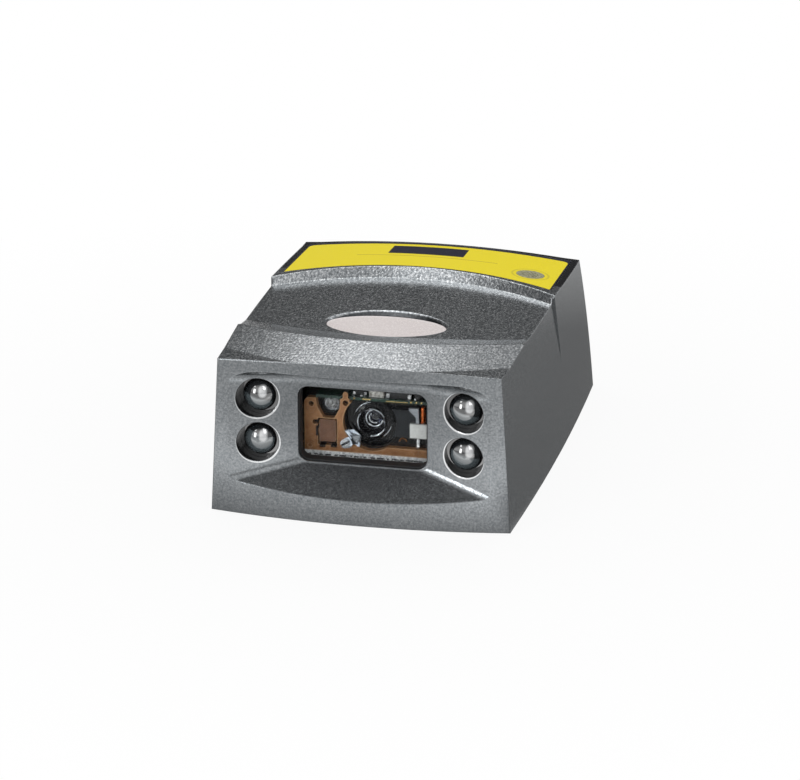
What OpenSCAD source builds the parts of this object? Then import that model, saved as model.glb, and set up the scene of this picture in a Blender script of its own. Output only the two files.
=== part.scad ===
// Fixed in-counter scanner head: a drafted, crowned top housing closed by an inset base plate.
// Z is up, the scan window faces -Y, and the origin is at the middle of the footprint on the base.

/* [Body] */
// Length over the base, front to back
body_l = 104.5; // [102:0.5:108]
// Width over the base, at its widest
body_w = 74; // [73:0.5:78]
// Distance of the widest section behind the front
widest_d = 69.5; // [60:0.5:78]
// Thickness of the housing's walls
wall = 2.4; // [2:0.1:2.8]
// Draft of the side walls, in degrees from the vertical
draft = 3.4; // [2.5:0.1:4]
// Radius of the side walls in plan
side_r = 1120; // [900:10:1500]
// Radius of the front face in plan
front_r = 195; // [160:5:260]
// Radius of the leaning rear wall, seen from the side
rear_r = 105; // [95:1:130]
// How far the centre of that radius lies below the base
rear_drop = 14.4; // [10:0.2:18]

/* [Top] */
// Height of the brow at the front, on the centre line
brow_h = 38.5; // [38:0.1:40]
// Rise of the brow towards its crest, in degrees
brow_slope = 4; // [2:0.1:5]
// Distance of the crest behind the front, on the centre line
crest_d = 14.7; // [13:0.1:17]
// Fall of the face behind the crest, in degrees
crest_fall = 8.9; // [7:0.1:12]
// Height of the saddle behind the brow, on the centre line
saddle_h = 38.4; // [37.8:0.1:38.8]
// Crown radius of the saddle
saddle_r = 400; // [300:10:600]
// Crown radius of the brow and of the rear deck
crown_r = 250; // [220:5:320]
// Distance behind the front at which the step up to the rear deck starts
step_d = 64.6; // [62:0.1:66]
// Radius of the step in plan
step_r = 96; // [90:1:120]
// Slope of the step, in degrees
step_slope = 40; // [35:1:50]
// Height of the rear deck above the saddle, just behind the step
deck_rise = 2.15; // [1.8:0.05:2.6]
// Fall of the rear deck towards the back, in degrees
deck_fall = 3.3; // [2.5:0.1:4]
// Depth of the waist pressed into each side, at the top
waist_depth = 0.6; // [0.3:0.05:0.8]
// Height at which the waist runs out
waist_z = 21; // [18:0.5:24]

/* [Front recess] */
// Depth of the recess floor behind the front
recess_depth = 6.4; // [5.8:0.1:6.8]
// Height of the recess's upper wall
recess_top = 35.2; // [34.4:0.1:35.4]
// Radius between the recess floor and its upper wall
recess_fillet = 4; // [3.5:0.1:4.2]
// Radius of the recess's upper corners
recess_corner = 5; // [4:0.5:6]
// Height at which the lower ramp starts at the front
ramp_z = 5.8; // [5:0.1:6.2]
// Slope of the lower ramp, in degrees
ramp_slope = 44.7; // [42:0.1:46]
// Radius of the hollow between the ramp and a lamp panel
ramp_roll = 3; // [2.5:0.1:3.5]
// Angle that turns each lamp panel towards the middle
toe = 14.7; // [12:0.1:16]
// Width of the scan opening
window_w = 30.2; // [28:0.1:30.4]
// Height of the scan opening's lower edge
window_z = 12.4; // [12.2:0.1:13]
// Height of the scan opening
window_h = 18.2; // [17:0.1:18.4]
// Radius of the scan opening's corners
window_corner = 2.5; // [1.5:0.1:3]
// Thickness of the clear pane
pane_t = 1.5; // [1.2:0.1:1.6]

/* [Lamps] */
// Distance of the lamps from the centre line
lamp_x = 24.05; // [23.6:0.05:24.4]
// Height of the lower lamps
lamp_z = 17.1; // [16.8:0.05:17.3]
// Distance from the lower lamp to the upper one
lamp_pitch = 10.7; // [10.6:0.05:11]
// Diameter of a lamp's well
well_d = 9.4; // [9.2:0.1:9.5]
// Depth of the seat of the lens behind the panel
lens_seat = 2.6; // [2.5:0.05:2.8]
// Diameter of the lens's dome
dome_d = 7.8; // [7.6:0.1:8.2]
// Height of the lens's dome
dome_h = 2.3; // [2:0.05:2.4]

/* [Base] */
// Thickness of the base plate
base_t = 3; // [2.6:0.1:3.4]
// Thickness of the seal on the base plate
seal_t = 0.6; // [0.4:0.1:0.8]
// Distance between the fixing inserts, across
insert_x = 52; // [51:1:53]
// Distance of the fixing inserts from the front and from the rear
insert_in = 22.25; // [21.5:0.25:23]
// Bore of a fixing insert, the core of an M3 thread
insert_bore_d = 2.5; // [2.4:0.05:2.6]
// Outside diameter of a fixing insert
insert_d = 4.6; // [4.4:0.1:5]

/* [Engine] */
// Distance of the engine's front plate behind the front
engine_d = 12.5; // [12.4:0.1:12.8]
// Depth of the engine behind its front plate
engine_l = 13; // [12:0.5:14]
// Height of the engine's underside
engine_z = 12.9; // [12.7:0.1:13.1]
// Height of the engine between its underside and its board
engine_h = 12.9; // [12.8:0.1:13.1]
// Left edge of the engine
engine_left = -15.1; // [-15.5:0.1:-14.9]
// Right edge of the engine
engine_right = 16.8; // [16.4:0.1:17]
// Radius of the round eye in the front plate
eye_r = 6.7; // [6.4:0.1:6.9]
// Place of the camera lens across the engine
lens_x = 0.8; // [0.5:0.1:1.1]
// Height of the camera lens
lens_z = 20.8; // [20.6:0.1:20.8]
// Radius of the lens hood
hood_r = 3.4; // [3.2:0.1:3.5]
// Radius of the camera's front lens
glass_r = 1.7; // [1.5:0.1:1.9]

/* [Inlet] */
// Bore of the inlet grommet
inlet_bore_d = 5.2; // [4.6:0.1:5.6]
// Height of the inlet
inlet_z = 13; // [12.5:0.1:13.5]

/* [Hidden] */
$fn = 48;
big = 256;
slack = 0.15;
eps = 0.02;
reach = 200;
body_h = 60;

base_inset = 1.3;
ledge_z = base_t + seal_t;
crest_h = brow_h + crest_d * tan(brow_slope);
deck_h = saddle_h + deck_rise;
deck_d = step_d + deck_rise / tan(step_slope);
front_wall_d = recess_depth + wall + 0.1;
panel_x = window_w / 2 + 0.1;
lamp_d = recess_depth - (lamp_x - panel_x) * tan(toe);
ceiling_h = saddle_h - wall;
insert_y = body_l - 2 * insert_in;
insert_pad_d = insert_d + 2.4;
rear_c = body_l - sqrt(pow(rear_r, 2) - pow(rear_drop, 2));

// Housing screws
screw_d = 2.5;
boss_d = 7.2;
front_boss = [body_w / 2 - 7.2, 11.5];
rear_boss = [body_w / 2 - 5.8, body_l - 12.5];
front_boss_top = 10.2;
rear_boss_top = 20;
head_d = 5.5;
head_h = 1.7;

// Lamp parts, in depths behind the panel
flange_d = 10.5;
flange_t = 1;
board_seat = front_wall_d - lamp_d;
lamp_board_t = 1.2;
lamp_board_w = 11;
lamp_board_z = 11.1;
lamp_board_h = 22.6;
pocket_d = flange_d + 2 * slack;
lamp_screw_x = 4.2;
emitter = [3.5, 1.0, 2.8];

// Window seal and pane
seal_lip = 1.0;
pane_lap = 0.8;
seal_edge = 0.7;
sleeve_t = 0.3;
sleeve_d = recess_depth + 0.9;

// Engine parts
plate_t = 1.6;
body_d = engine_d + plate_t;
engine_back = engine_d + engine_l;
engine_top = engine_z + engine_h;
rail_h = 1.9;
eye = [0.7, 20.4];
bracket_t = 1;
foot_w = 4.2;
foot_out = 3.2;
strip_h = 1.5;
bracket_z = engine_z - strip_h;
engine_board_t = 0.7;
engine_board_d = engine_d + 0.2;
engine_board_left = engine_left + 2.7;
engine_foot_d = 4;
small_bore = 1.6;

// Barrel of the camera lens, in depths behind the front plate
hood_reach = 0.3;
hood_edge = 0.3;
neck_r = 4.2;
barrel_r = 4.9;
barrel_flange = [1.4, 2.5];
tube_r = 4.5;
glass_depth = 3.4;
clamp_t = 1.1;
clamp_seat = barrel_flange[1] + clamp_t;

// Aiming module
aim_x = -9.2;
aim_z = 23.6;
aim_r = 2;
aim_depth = 3.1;
aim_l = 5;
cover = [-11.5, 15.4, 3.9, 5.3];
clip_at = [-5.4, 15.3];

// Lug with its tab
lug = [-5.4, 24.9];
lug_r = 1.35;
tab_w = 1.2;
tab_top = 27.6;

// Main board
board_z = base_t + 5;
board_t = 1.6;
board_w = body_w - 20;
board_d0 = 31;
board_l = body_l - board_d0 - 11.5;
chip_row = 9;
host_row = board_l - 12;
power_row = host_row - 12;
ribbon_socket_h = 2.5;
post_x = board_w / 2 - 3;
side_chip = board_w / 2 - 5;
socket_x = -8;
post_in = 4;
post_af = 5;

// Inlet, whose face lies in a counterbore of the leaning rear wall
inlet_face = rear_at(inlet_z) - 2.05;
inlet_neck_d = 10;
inlet_flange_d = 13;
inlet_flange_t = 1.6;
inlet_boss_d = 17;
inlet_wall = 3;

// Badge and label
badge_d = 31;
badge_l = 28.3;
badge_w = 14.4;
badge_depth = 1.4;
badge_t = 0.6;
badge_gap = 0.15;
dish_l = 29.3;
dish_w = 18.5;
label_t = 0.3;
label_w = body_w - 8.2;
label_gap = 0.6;
label_back = rear_at(39) - 0.9;
port_x = body_w / 2 - 10.9;
port_d = step_d + 7.8;
port_hole_d = 4.4;
mesh_d = 6.8;
mesh_t = 0.5;
beeper_d = 9.2;
beeper_h = 4.5;
beeper_seat = ceiling_h - 1.7;

// Y of a point that lies d behind the foremost point of the front face
function at(d) = d - body_l / 2;

// Depth of the leaning rear wall at height z
function rear_at(z) = rear_c + sqrt(pow(rear_r, 2) - pow(z + rear_drop, 2));

// Points of an ellipse
function ellipse(l, w, n = 64) = [for (i = [0:n - 1]) [l / 2 * cos(360 * i / n), w / 2 * sin(360 * i / n)]];

// Cylinder along Y that starts at depth d
module along_y(x, d, z, dia, h) translate([x, at(d), z]) rotate([-90, 0, 0]) cylinder(d = dia, h = h);

// Box given by its corners in x, depth and z
module block(a, b) translate([a[0], at(a[1]), a[2]]) cube(b - a);

// Outline in the x-z plane, made into a plate that starts at depth d
module upright(d, t) translate([0, at(d) + t, 0]) rotate([90, 0, 0]) linear_extrude(t) children();

// Outline in the depth-z plane, extruded across from x0 to x1
module across(x0, x1) translate([x0, 0, 0]) rotate([90, 0, 90]) linear_extrude(x1 - x0) children();

module rounded_rect(w, h, r) {
    translate([-w / 2 + r, 0]) square([w - 2 * r, h]);
    translate([-w / 2, r]) square([w, h - 2 * r]);
    for (x = [-w / 2 + r, w / 2 - r], y = [r, h - r]) translate([x, y]) circle(r);
}

// One barrelled, drafted side wall
module side_limit(side, inset, angle) {
    translate([side * (body_w / 2 - side_r / cos(angle)), at(widest_d), 0])
        rotate([0, -side * angle, 0])
            cylinder(r = side_r - inset, h = 2 * reach, center = true, $fn = big);
}

// The footprint carried up without a top, shrunk by inset, between two heights
module core(inset, z0, z1) {
    intersection() {
        translate([-body_w, -body_l, z0]) cube([2 * body_w, 2 * body_l, z1 - z0]);
        side_limit(1, inset, draft);
        side_limit(-1, inset, draft);
        translate([0, at(front_r), -reach / 2]) cylinder(r = front_r - inset, h = reach, $fn = big);
        translate([-body_w, at(rear_c), -rear_drop]) rotate([0, 90, 0])
            cylinder(r = rear_r - inset, h = 2 * body_w, $fn = big);
    }
}

// Crowned slab whose top passes through height h at depth d, with a slope towards the rear
module crown(r, d, h, slope) {
    translate([0, at(d), h]) rotate([slope, 0, 0]) translate([0, -reach / 2, -r])
        rotate([-90, 0, 0]) cylinder(r = r, h = reach + body_l, $fn = big);
}

// The cone whose flank is the step up to the rear deck
module step_cone() {
    rise = 12;
    run = rise / tan(step_slope);
    translate([0, at(step_d - step_r), saddle_h - rise])
        cylinder(r1 = step_r - run, r2 = step_r + run, h = 2 * rise, $fn = big);
}

// Everything under the brow, the saddle and the rear deck
module under_top() {
    box_z = 20;
    intersection() {
        crown(saddle_r, 0, saddle_h, 0);
        translate([-body_w, -body_l, -1]) cube([2 * body_w, 2 * body_l, body_h]);
    }
    intersection() {
        crown(crown_r, 0, brow_h, brow_slope);
        translate([-body_w, at(-10), box_z]) cube([2 * body_w, crest_d + 40, body_h]);
        translate([-body_w, at(crest_d), crest_h]) rotate([-crest_fall, 0, 0])
            translate([0, -body_l, -body_h]) cube([2 * body_w, 2 * body_l, body_h]);
    }
    difference() {
        intersection() {
            crown(crown_r, deck_d, deck_h, -deck_fall);
            translate([-body_w, at(step_d - 20), box_z + 10]) cube([2 * body_w, body_l, body_h]);
        }
        step_cone();
    }
}

// The shallow waist in one side, between the brow and the step
module waist(side) {
    press = atan(waist_depth / (saddle_h - waist_z));
    shift = waist_z * (tan(draft + press) - tan(draft));
    difference() {
        across(side > 0 ? 20 : -body_w, side > 0 ? body_w : -20)
            polygon([[at(crest_d + 9.6), body_h], [at(crest_d + 9.6), saddle_h], [at(crest_d + 20), waist_z - 1],
                [at(step_d - 2), waist_z - 1], [at(step_d - 6.6), saddle_h], [at(step_d - 6.6), body_h]]);
        translate([side * shift, 0, 0]) side_limit(side, 0, draft + press);
    }
}

// Space in front of one plane of the recess: a floor, a rolled upper corner and an upper wall
module recess_space() {
    across(-reach / 2, reach / 2) {
        translate([-40, -20]) square([40, 20 + recess_top - recess_fillet]);
        translate([-40, -20]) square([40 - recess_fillet, 20 + recess_top]);
        translate([-recess_fillet, recess_top - recess_fillet]) circle(recess_fillet);
    }
}

// Material that fills the corner between the ramp and one lamp panel, up to its hollow
module ramp_corner(side) {
    face = [-side * sin(toe), -cos(toe), 0];
    ramp = [0, -sin(ramp_slope), cos(ramp_slope)];
    way = cross(face, ramp) / norm(cross(face, ramp));
    out = (face + ramp) / norm(face + ramp);
    across_way = cross(way, out);
    half = acos(face * ramp) / 2;
    centre = ramp_roll / cos(half);
    touch = ramp_roll * tan(half) * [sin(half), cos(half)];
    start = [side * panel_x, at(recess_depth), ramp_z + recess_depth * tan(ramp_slope)];
    multmatrix([for (i = [0:2]) [out[i], across_way[i], way[i], start[i]]]) difference() {
        translate([0, 0, -body_l / 2]) linear_extrude(body_l)
            polygon([[-1, 0], touch, [centre, 0], [touch[0], -touch[1]]]);
        translate([centre, 0, -body_l]) cylinder(r = ramp_roll + 0.005, h = 2 * body_l, $fn = big);
    }
}

// The front recess: a floor, two toed-in lamp panels and a ramp below
module recess() difference() {
    intersection() {
        translate([0, at(recess_depth), 0]) recess_space();
        for_panel(1) recess_space();
        for_panel(-1) recess_space();
        upright(-20, 40) translate([0, -20]) rounded_rect(2 * 31.5, 20 + recess_top, recess_corner);
        translate([-body_w, at(0), ramp_z]) rotate([ramp_slope, 0, 0])
            translate([0, -body_l / 2, 0]) cube([2 * body_w, body_l, body_l]);
    }
    for (side = [-1, 1]) ramp_corner(side);
}

// Frame of one lamp panel: Y points into the housing
module for_panel(side) translate([side * panel_x, at(recess_depth), 0]) rotate([0, 0, -side * toe]) children();

// Frame of one lamp, which looks straight ahead: Y points into the housing from the panel's surface
module for_lamp(side, z) translate([side * lamp_x, at(lamp_d), z]) children();

module lamp_cylinder(y, d, h) translate([0, y, 0]) rotate([-90, 0, 0]) cylinder(d = d, h = h);

// Well for one lens: bore and the pocket for its flange
module lamp_well() {
    lamp_cylinder(-5, well_d, 5 + lens_seat + 1);
    lamp_cylinder(lens_seat, pocket_d, board_seat - lens_seat + 1);
}

// Pad inside the housing that carries one lamp board
module lamp_pad(side) {
    for_lamp(side, 0) translate([-lamp_board_w / 2 - 0.6, 0.5, lamp_board_z - 0.2])
        cube([lamp_board_w + 1.2, board_seat - 0.5, lamp_board_h + 4]);
}

module screw_boss(p, top, side) translate([side * p[0], at(p[1]), 0]) cylinder(d = boss_d, h = top);

// Inside of the housing above the ledge
module cavity() {
    lower = wall / cos(ramp_slope);
    difference() {
        intersection() {
            core(wall, 0, body_h);
            crown(saddle_r - wall, 0, ceiling_h, 0);
        }
        intersection() {
            translate([-body_w, at(-10), -10]) cube([2 * body_w, 10 + front_wall_d, 100]);
            translate([-body_w, at(0), ramp_z - lower]) rotate([ramp_slope, 0, 0])
                translate([0, -body_l / 2, 0]) cube([2 * body_w, body_l, body_l]);
        }
        for (side = [-1, 1]) {
            lamp_pad(side);
            screw_boss(front_boss, front_boss_top, side);
            screw_boss(rear_boss, rear_boss_top, side);
        }
        along_y(0, inlet_face - inlet_wall, inlet_z, inlet_boss_d, 20);
        translate([port_x, at(port_d), beeper_seat - 1.5]) cylinder(d = beeper_d + 2.4, h = 10);
    }
}

// Frame of a point on the rear deck: Z is the deck's normal
module on_deck(x, d) {
    translate([0, at(deck_d), deck_h]) rotate([-deck_fall, 0, 0])
        translate([0, (d - deck_d) / cos(deck_fall), -crown_r]) rotate([0, asin(x / crown_r), 0])
            translate([0, 0, crown_r]) children();
}

// Outline of the label seen from above
module label_outline(gap) {
    difference() {
        translate([-label_w / 2 - gap, at(step_d - 10)]) square([label_w + 2 * gap, label_back + gap - step_d + 10]);
        translate([0, at(step_d - step_r)]) circle(step_r + deck_rise / tan(step_slope) + label_gap - gap, $fn = big);
    }
}

module label_sheet(gap, top, t) {
    intersection() {
        translate([0, 0, 30]) linear_extrude(20) label_outline(gap);
        difference() {
            crown(crown_r + top, deck_d, deck_h + top, -deck_fall);
            crown(crown_r + top - t, deck_d, deck_h + top - t, -deck_fall);
        }
    }
}

// Pocket of the badge plate, whose wall widens into a shallow oval dish
module badge_pocket() {
    seat_l = badge_l + 2 * badge_gap;
    seat_w = badge_w + 2 * badge_gap;
    dish_h = badge_depth - badge_t;
    over = 0.2;
    widen = 1 + over / dish_h;
    translate([0, at(badge_d), saddle_h - badge_depth]) linear_extrude(badge_depth + 2) polygon(ellipse(seat_l, seat_w));
    translate([0, at(badge_d), saddle_h - dish_h])
        linear_extrude(dish_h + over, slices = 1,
            scale = [1 + widen * (dish_l / seat_l - 1), 1 + widen * (dish_w / seat_w - 1)])
            polygon(ellipse(seat_l, seat_w));
}

module top_housing() color([0.36, 0.37, 0.38]) difference() {
    intersection() {
        core(0, 0, body_h);
        under_top();
    }
    waist(1);
    waist(-1);
    recess();
    cavity();
    core(base_inset, -1, ledge_z);
    upright(recess_depth - 3, wall + 4) translate([0, window_z]) rounded_rect(window_w, window_h, window_corner);
    for (side = [-1, 1]) {
        for (z = [lamp_z, lamp_z + lamp_pitch]) for_lamp(side, z) lamp_well();
        for_lamp(side, 0) translate([-lamp_board_w / 2 - slack, board_seat, lamp_board_z - slack])
            cube([lamp_board_w + 2 * slack, 6, lamp_board_h + 2 * slack]);
        for (x = [-lamp_screw_x, lamp_screw_x]) for_lamp(side, lamp_z + lamp_pitch / 2)
            translate([x, 0, 0]) lamp_cylinder(board_seat - 2.6, 1.6, 4);
        translate([side * front_boss[0], at(front_boss[1]), 0]) cylinder(d = screw_d, h = front_boss_top - 1);
        translate([side * rear_boss[0], at(rear_boss[1]), 0]) cylinder(d = screw_d, h = 12);
    }
    along_y(0, inlet_face, inlet_z, inlet_flange_d + 1, 20);
    along_y(0, inlet_face - 12, inlet_z, inlet_neck_d, 20);
    label_sheet(0.1, 1, 1 + label_t);
    badge_pocket();
    translate([port_x, at(port_d), beeper_seat - 5]) cylinder(d = beeper_d + 2 * slack, h = 5);
    translate([port_x, at(port_d), beeper_seat - 1]) cylinder(d = port_hole_d, h = 20);
    on_deck(port_x, port_d) translate([0, 0, -mesh_t]) cylinder(d = mesh_d + 0.1, h = 5);
}

module base_plate() color([0.30, 0.31, 0.32]) difference() {
    union() {
        core(base_inset + slack, 0, base_t);
        for (x = [-1, 1], y = [-1, 1])
            translate([x * insert_x / 2, y * insert_y / 2, 0]) cylinder(d = insert_pad_d, h = base_t + 2);
    }
    for (side = [-1, 1], p = [front_boss, rear_boss]) translate([side * p[0], at(p[1]), 0]) {
        translate([0, 0, -1]) cylinder(d = screw_d + 0.7, h = 10);
        translate([0, 0, -1]) cylinder(d = head_d + 0.6, h = 1 + head_h);
    }
    for (x = [-1, 1], y = [-1, 1])
        translate([x * insert_x / 2, y * insert_y / 2, -1]) cylinder(d = insert_d, h = 10);
    for (x = [-1, 1], y = [post_in, board_l - post_in])
        translate([x * post_x, at(board_d0 + y), -1]) cylinder(d = 2, h = 10);
    for (p = bracket_feet()) translate([p[0], at(p[1]), base_t - 2.2]) cylinder(d = 2, h = 10);
}

module base_seal() color([0.08, 0.08, 0.08]) difference() {
    core(base_inset + slack, base_t, ledge_z);
    difference() {
        core(wall + 0.2, base_t - 1, ledge_z + 1);
        for (side = [-1, 1], p = [front_boss, rear_boss])
            translate([side * p[0], at(p[1]), 0]) cylinder(d = boss_d, h = 10);
    }
    for (side = [-1, 1], p = [front_boss, rear_boss])
        translate([side * p[0], at(p[1]), 0]) cylinder(d = screw_d + 0.7, h = 10);
}

module window_outline(grow) translate([0, window_z - grow])
    rounded_rect(window_w + 2 * grow, window_h + 2 * grow, window_corner + grow);

module scan_window() color([0.75, 0.8, 0.82, 0.3])
    upright(front_wall_d + seal_lip, pane_t) window_outline(pane_lap);

// Moulded seal round the pane, with a sleeve that lines the scan opening
module window_seal() color([0.06, 0.06, 0.06]) difference() {
    union() {
        upright(front_wall_d, seal_lip + pane_t) window_outline(pane_lap + seal_edge);
        upright(sleeve_d, front_wall_d - sleeve_d + eps) window_outline(0);
    }
    upright(sleeve_d - 1, 10) window_outline(-sleeve_t);
    upright(front_wall_d + seal_lip, 10) window_outline(pane_lap);
}

module label_plate() color([0.9, 0.84, 0.2]) difference() {
    label_sheet(0, 0, label_t);
    on_deck(port_x, port_d) translate([0, 0, -2]) cylinder(d = mesh_d + 0.1, h = 5);
}

module badge_plate() color([0.93, 0.9, 0.89])
    translate([0, at(badge_d), saddle_h - badge_depth]) linear_extrude(badge_t) polygon(ellipse(badge_l, badge_w));

module beeper_mesh() color([0.5, 0.5, 0.45]) on_deck(port_x, port_d) difference() {
    translate([0, 0, -mesh_t]) cylinder(d = mesh_d, h = mesh_t);
    for (ring = [[0, 1], [0.9, 6], [1.8, 12]], i = [0:ring[1] - 1])
        rotate([0, 0, 360 * i / ring[1]]) translate([ring[0], 0, -1]) cylinder(d = 0.5, h = 2, $fn = 16);
}

// Moulded lens: a domed front on a round flange
module lens(side, z) {
    sphere_r = (pow(dome_d / 2, 2) + pow(dome_h, 2)) / (2 * dome_h);
    color([0.8, 0.84, 0.86, 0.4]) for_lamp(side, z) translate([0, lens_seat, 0]) rotate([-90, 0, 0])
        rotate_extrude() {
            square([flange_d / 2, flange_t]);
            intersection() {
                translate([0, sphere_r - dome_h]) circle(sphere_r, $fn = 96);
                translate([0, -dome_h - 1]) square([dome_d, dome_h + 1 + flange_t / 2]);
            }
        }
}
module lens_upper_left() lens(-1, lamp_z + lamp_pitch);
module lens_lower_left() lens(-1, lamp_z);
module lens_upper_right() lens(1, lamp_z + lamp_pitch);
module lens_lower_right() lens(1, lamp_z);

module lamp_board(side) color([0.1, 0.3, 0.2]) for_lamp(side, 0) difference() {
    translate([-lamp_board_w / 2, board_seat, lamp_board_z]) cube([lamp_board_w, lamp_board_t, lamp_board_h]);
    for (x = [-lamp_screw_x, lamp_screw_x]) translate([x, 0, lamp_z + lamp_pitch / 2]) lamp_cylinder(0, 1.8, 10);
}
module lamp_board_left() lamp_board(-1);
module lamp_board_right() lamp_board(1);

module emitters(side) color([0.9, 0.85, 0.5]) for (z = [lamp_z, lamp_z + lamp_pitch]) for_lamp(side, z)
    translate([-emitter[0] / 2, board_seat - emitter[1], -emitter[2] / 2]) cube(emitter);
module emitters_left() emitters(-1);
module emitters_right() emitters(1);

// Cheese-head screw: its head sits on z = 0 and its shank points down
module screw(shank_d, shank_l, head_w, head_t) {
    difference() {
        cylinder(d = head_w, h = head_t);
        translate([-head_w, -0.25, head_t * 0.5]) cube([2 * head_w, 0.5, head_t]);
    }
    translate([0, 0, -shank_l]) cylinder(d = shank_d, h = shank_l + eps);
}

module lamp_board_screws() color([0.7, 0.7, 0.72]) for (side = [-1, 1], x = [-lamp_screw_x, lamp_screw_x])
    for_lamp(side, lamp_z + lamp_pitch / 2) translate([x, board_seat + lamp_board_t, 0]) rotate([-90, 0, 0])
        screw(1.5, lamp_board_t + 2.2, 2.4, 0.9);

function bracket_feet() = [for (x = [engine_left - foot_out, engine_right + foot_out],
    d = [engine_d + 4, engine_back - 1]) [x, d]];

function engine_feet() = [for (x = [engine_left + 3, engine_right - 3], d = [engine_d + 4, engine_back - 2]) [x, d]];

// Folded bracket: a shelf under the engine, two legs and four feet on the base plate
module engine_bracket() color([0.75, 0.76, 0.78]) {
    x0 = engine_left - bracket_t;
    x1 = engine_right + bracket_t;
    d0 = engine_d + 0.2;
    d1 = engine_back + 2;
    leg_d = d0 + 1.5;
    difference() {
        union() {
            block([x0, d0, bracket_z - bracket_t], [x1, d1, bracket_z]);
            for (x = [x0, x1 - bracket_t]) block([x, leg_d, base_t], [x + bracket_t, d1, bracket_z]);
            block([x0 - foot_w, leg_d, base_t], [x0 + bracket_t, d1, base_t + bracket_t]);
            block([x1 - bracket_t, leg_d, base_t], [x1 + foot_w, d1, base_t + bracket_t]);
        }
        for (p = bracket_feet()) translate([p[0], at(p[1]), 0]) cylinder(d = 2.4, h = base_t + 5);
        for (p = engine_feet()) translate([p[0], at(p[1]), 0]) cylinder(d = 2.4, h = bracket_z + 1);
        block([-6, d0 + 5, bracket_z - 3], [8, d1 - 4, bracket_z + 1]);
    }
}

module gasket_strip() color([0.85, 0.85, 0.86])
    block([engine_left, engine_d, bracket_z], [engine_right, engine_d + 1.6, engine_z]);

// Tan front plate: round eye, angular port, lug with a tab, square pocket and a rail to the right
module plate_outline() {
    corner = 1.2;
    post_w = 13.4;
    difference() {
        union() {
            translate([engine_left, engine_z]) square([engine_right - engine_left, rail_h]);
            translate([engine_left + post_w / 2, engine_z]) rounded_rect(post_w, engine_h - 0.1, corner);
            translate([engine_right - 1.6, engine_z]) square([1.6, engine_h - 2]);
            translate(lug) circle(lug_r);
            translate([lug[0] - 2 * lug_r / 3, engine_z + rail_h]) square([2 * lug_r, lug[1] - engine_z - rail_h]);
        }
        translate(eye) circle(eye_r, $fn = 96);
        translate([eye[0], engine_z + rail_h]) square([engine_right - 1.6 - eye[0], engine_h]);
        translate([lug[0] + 0.9, lug[1] + 0.3]) square([12, engine_h]);
        polygon([[-12.5, engine_top + 1], [-12.4, 25.6], [-12, 23.4], [-10.6, 21], [-8.1, 21], [-6.8, 23.4],
            [-6.6, 25.2], [-7, engine_top + 1]]);
        translate([-13.5, 24.2]) circle(0.65);
        translate(lug) circle(0.7);
        translate([-12.7, 19.8]) circle(0.55);
        translate([cover[0] - 0.5, cover[1] - 1.1]) square([cover[2] + 0.65, cover[3] + 1.25]);
    }
    translate([lug[0] - tab_w / 2, lug[1] + lug_r - 0.4]) square([tab_w, tab_top - lug[1] - lug_r]);
    translate([lug[0], tab_top - tab_w / 2]) circle(tab_w / 2);
}

module engine_plate() color([0.72, 0.52, 0.36]) difference() {
    upright(engine_d, plate_t) plate_outline();
    along_y(-13.9, engine_d - 1, 13.9, 1.1, 1.5);
    along_y(clip_at[0], engine_d - 1, clip_at[1], 0.9, 3);
    block([lug[0] - 3, engine_board_d, engine_top - slack], [lug[0] + 3, engine_d + 3, engine_top + 5]);
}

// Black body behind the plate, bored for the camera lens and the aiming module
module engine_body() color([0.07, 0.07, 0.08]) difference() {
    union() {
        block([engine_left, body_d, engine_z], [engine_right, engine_back, engine_top]);
        for (p = engine_feet()) translate([p[0], at(p[1]), bracket_z])
            cylinder(d = engine_foot_d, h = strip_h + eps);
    }
    along_y(lens_x, body_d - 1, lens_z, 2 * eye_r - 0.4, engine_d + clamp_seat - body_d + 1);
    along_y(lens_x, body_d - 1, lens_z, 2 * tube_r, engine_l);
    along_y(aim_x, body_d - 1, aim_z, 2 * aim_r, 1 + aim_depth + aim_l - plate_t);
    block([-11.9, body_d - 1, 21.6], [-6.7, body_d + 1.3, engine_top + 1]);
    for (p = engine_feet()) translate([p[0], at(p[1]), bracket_z - 1]) cylinder(d = small_bore, h = 5);
}

// Stepped lens barrel: a funnel-shaped hood, a flange with three ears and the tube behind it
module lens_barrel() color([0.05, 0.05, 0.06]) translate([lens_x, at(engine_d), lens_z]) rotate([-90, 0, 0]) {
    rotate_extrude($fn = 96) polygon([[glass_r, glass_depth], [hood_r - hood_edge, -hood_reach],
        [hood_r, -hood_reach], [hood_r + 0.1, 0.6], [neck_r, 0.8], [neck_r, barrel_flange[0] - 0.1],
        [barrel_r, barrel_flange[0]], [barrel_r, barrel_flange[1]], [tube_r, barrel_flange[1]],
        [tube_r, engine_l - 2], [3, engine_l - 2], [3, glass_depth + 3], [glass_r, glass_depth + 1.4]]);
    for (a = [5, 120, 180]) rotate([0, 0, a]) translate([barrel_r - 0.3, 0, barrel_flange[0] - 0.4])
        cylinder(d = 1.4, h = barrel_flange[1] - barrel_flange[0] + 0.4);
}

// Ring that holds the barrel's flange, flat on top under the board
module lens_clamp() color([0.12, 0.12, 0.13]) difference() {
    clamp_r = eye_r - 0.35;
    translate([lens_x, at(engine_d + barrel_flange[1]), lens_z]) rotate([-90, 0, 0]) difference() {
        cylinder(r = clamp_r, h = clamp_t);
        translate([0, 0, -1]) cylinder(r = tube_r, h = 3);
        for (i = [0:11]) rotate([0, 0, 30 * i + 10]) translate([clamp_r + 0.1, 0, -1]) cylinder(d = 0.9, h = 3, $fn = 16);
    }
    block([-10, engine_d, engine_top - slack], [12, engine_back, engine_top + 5]);
}

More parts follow.
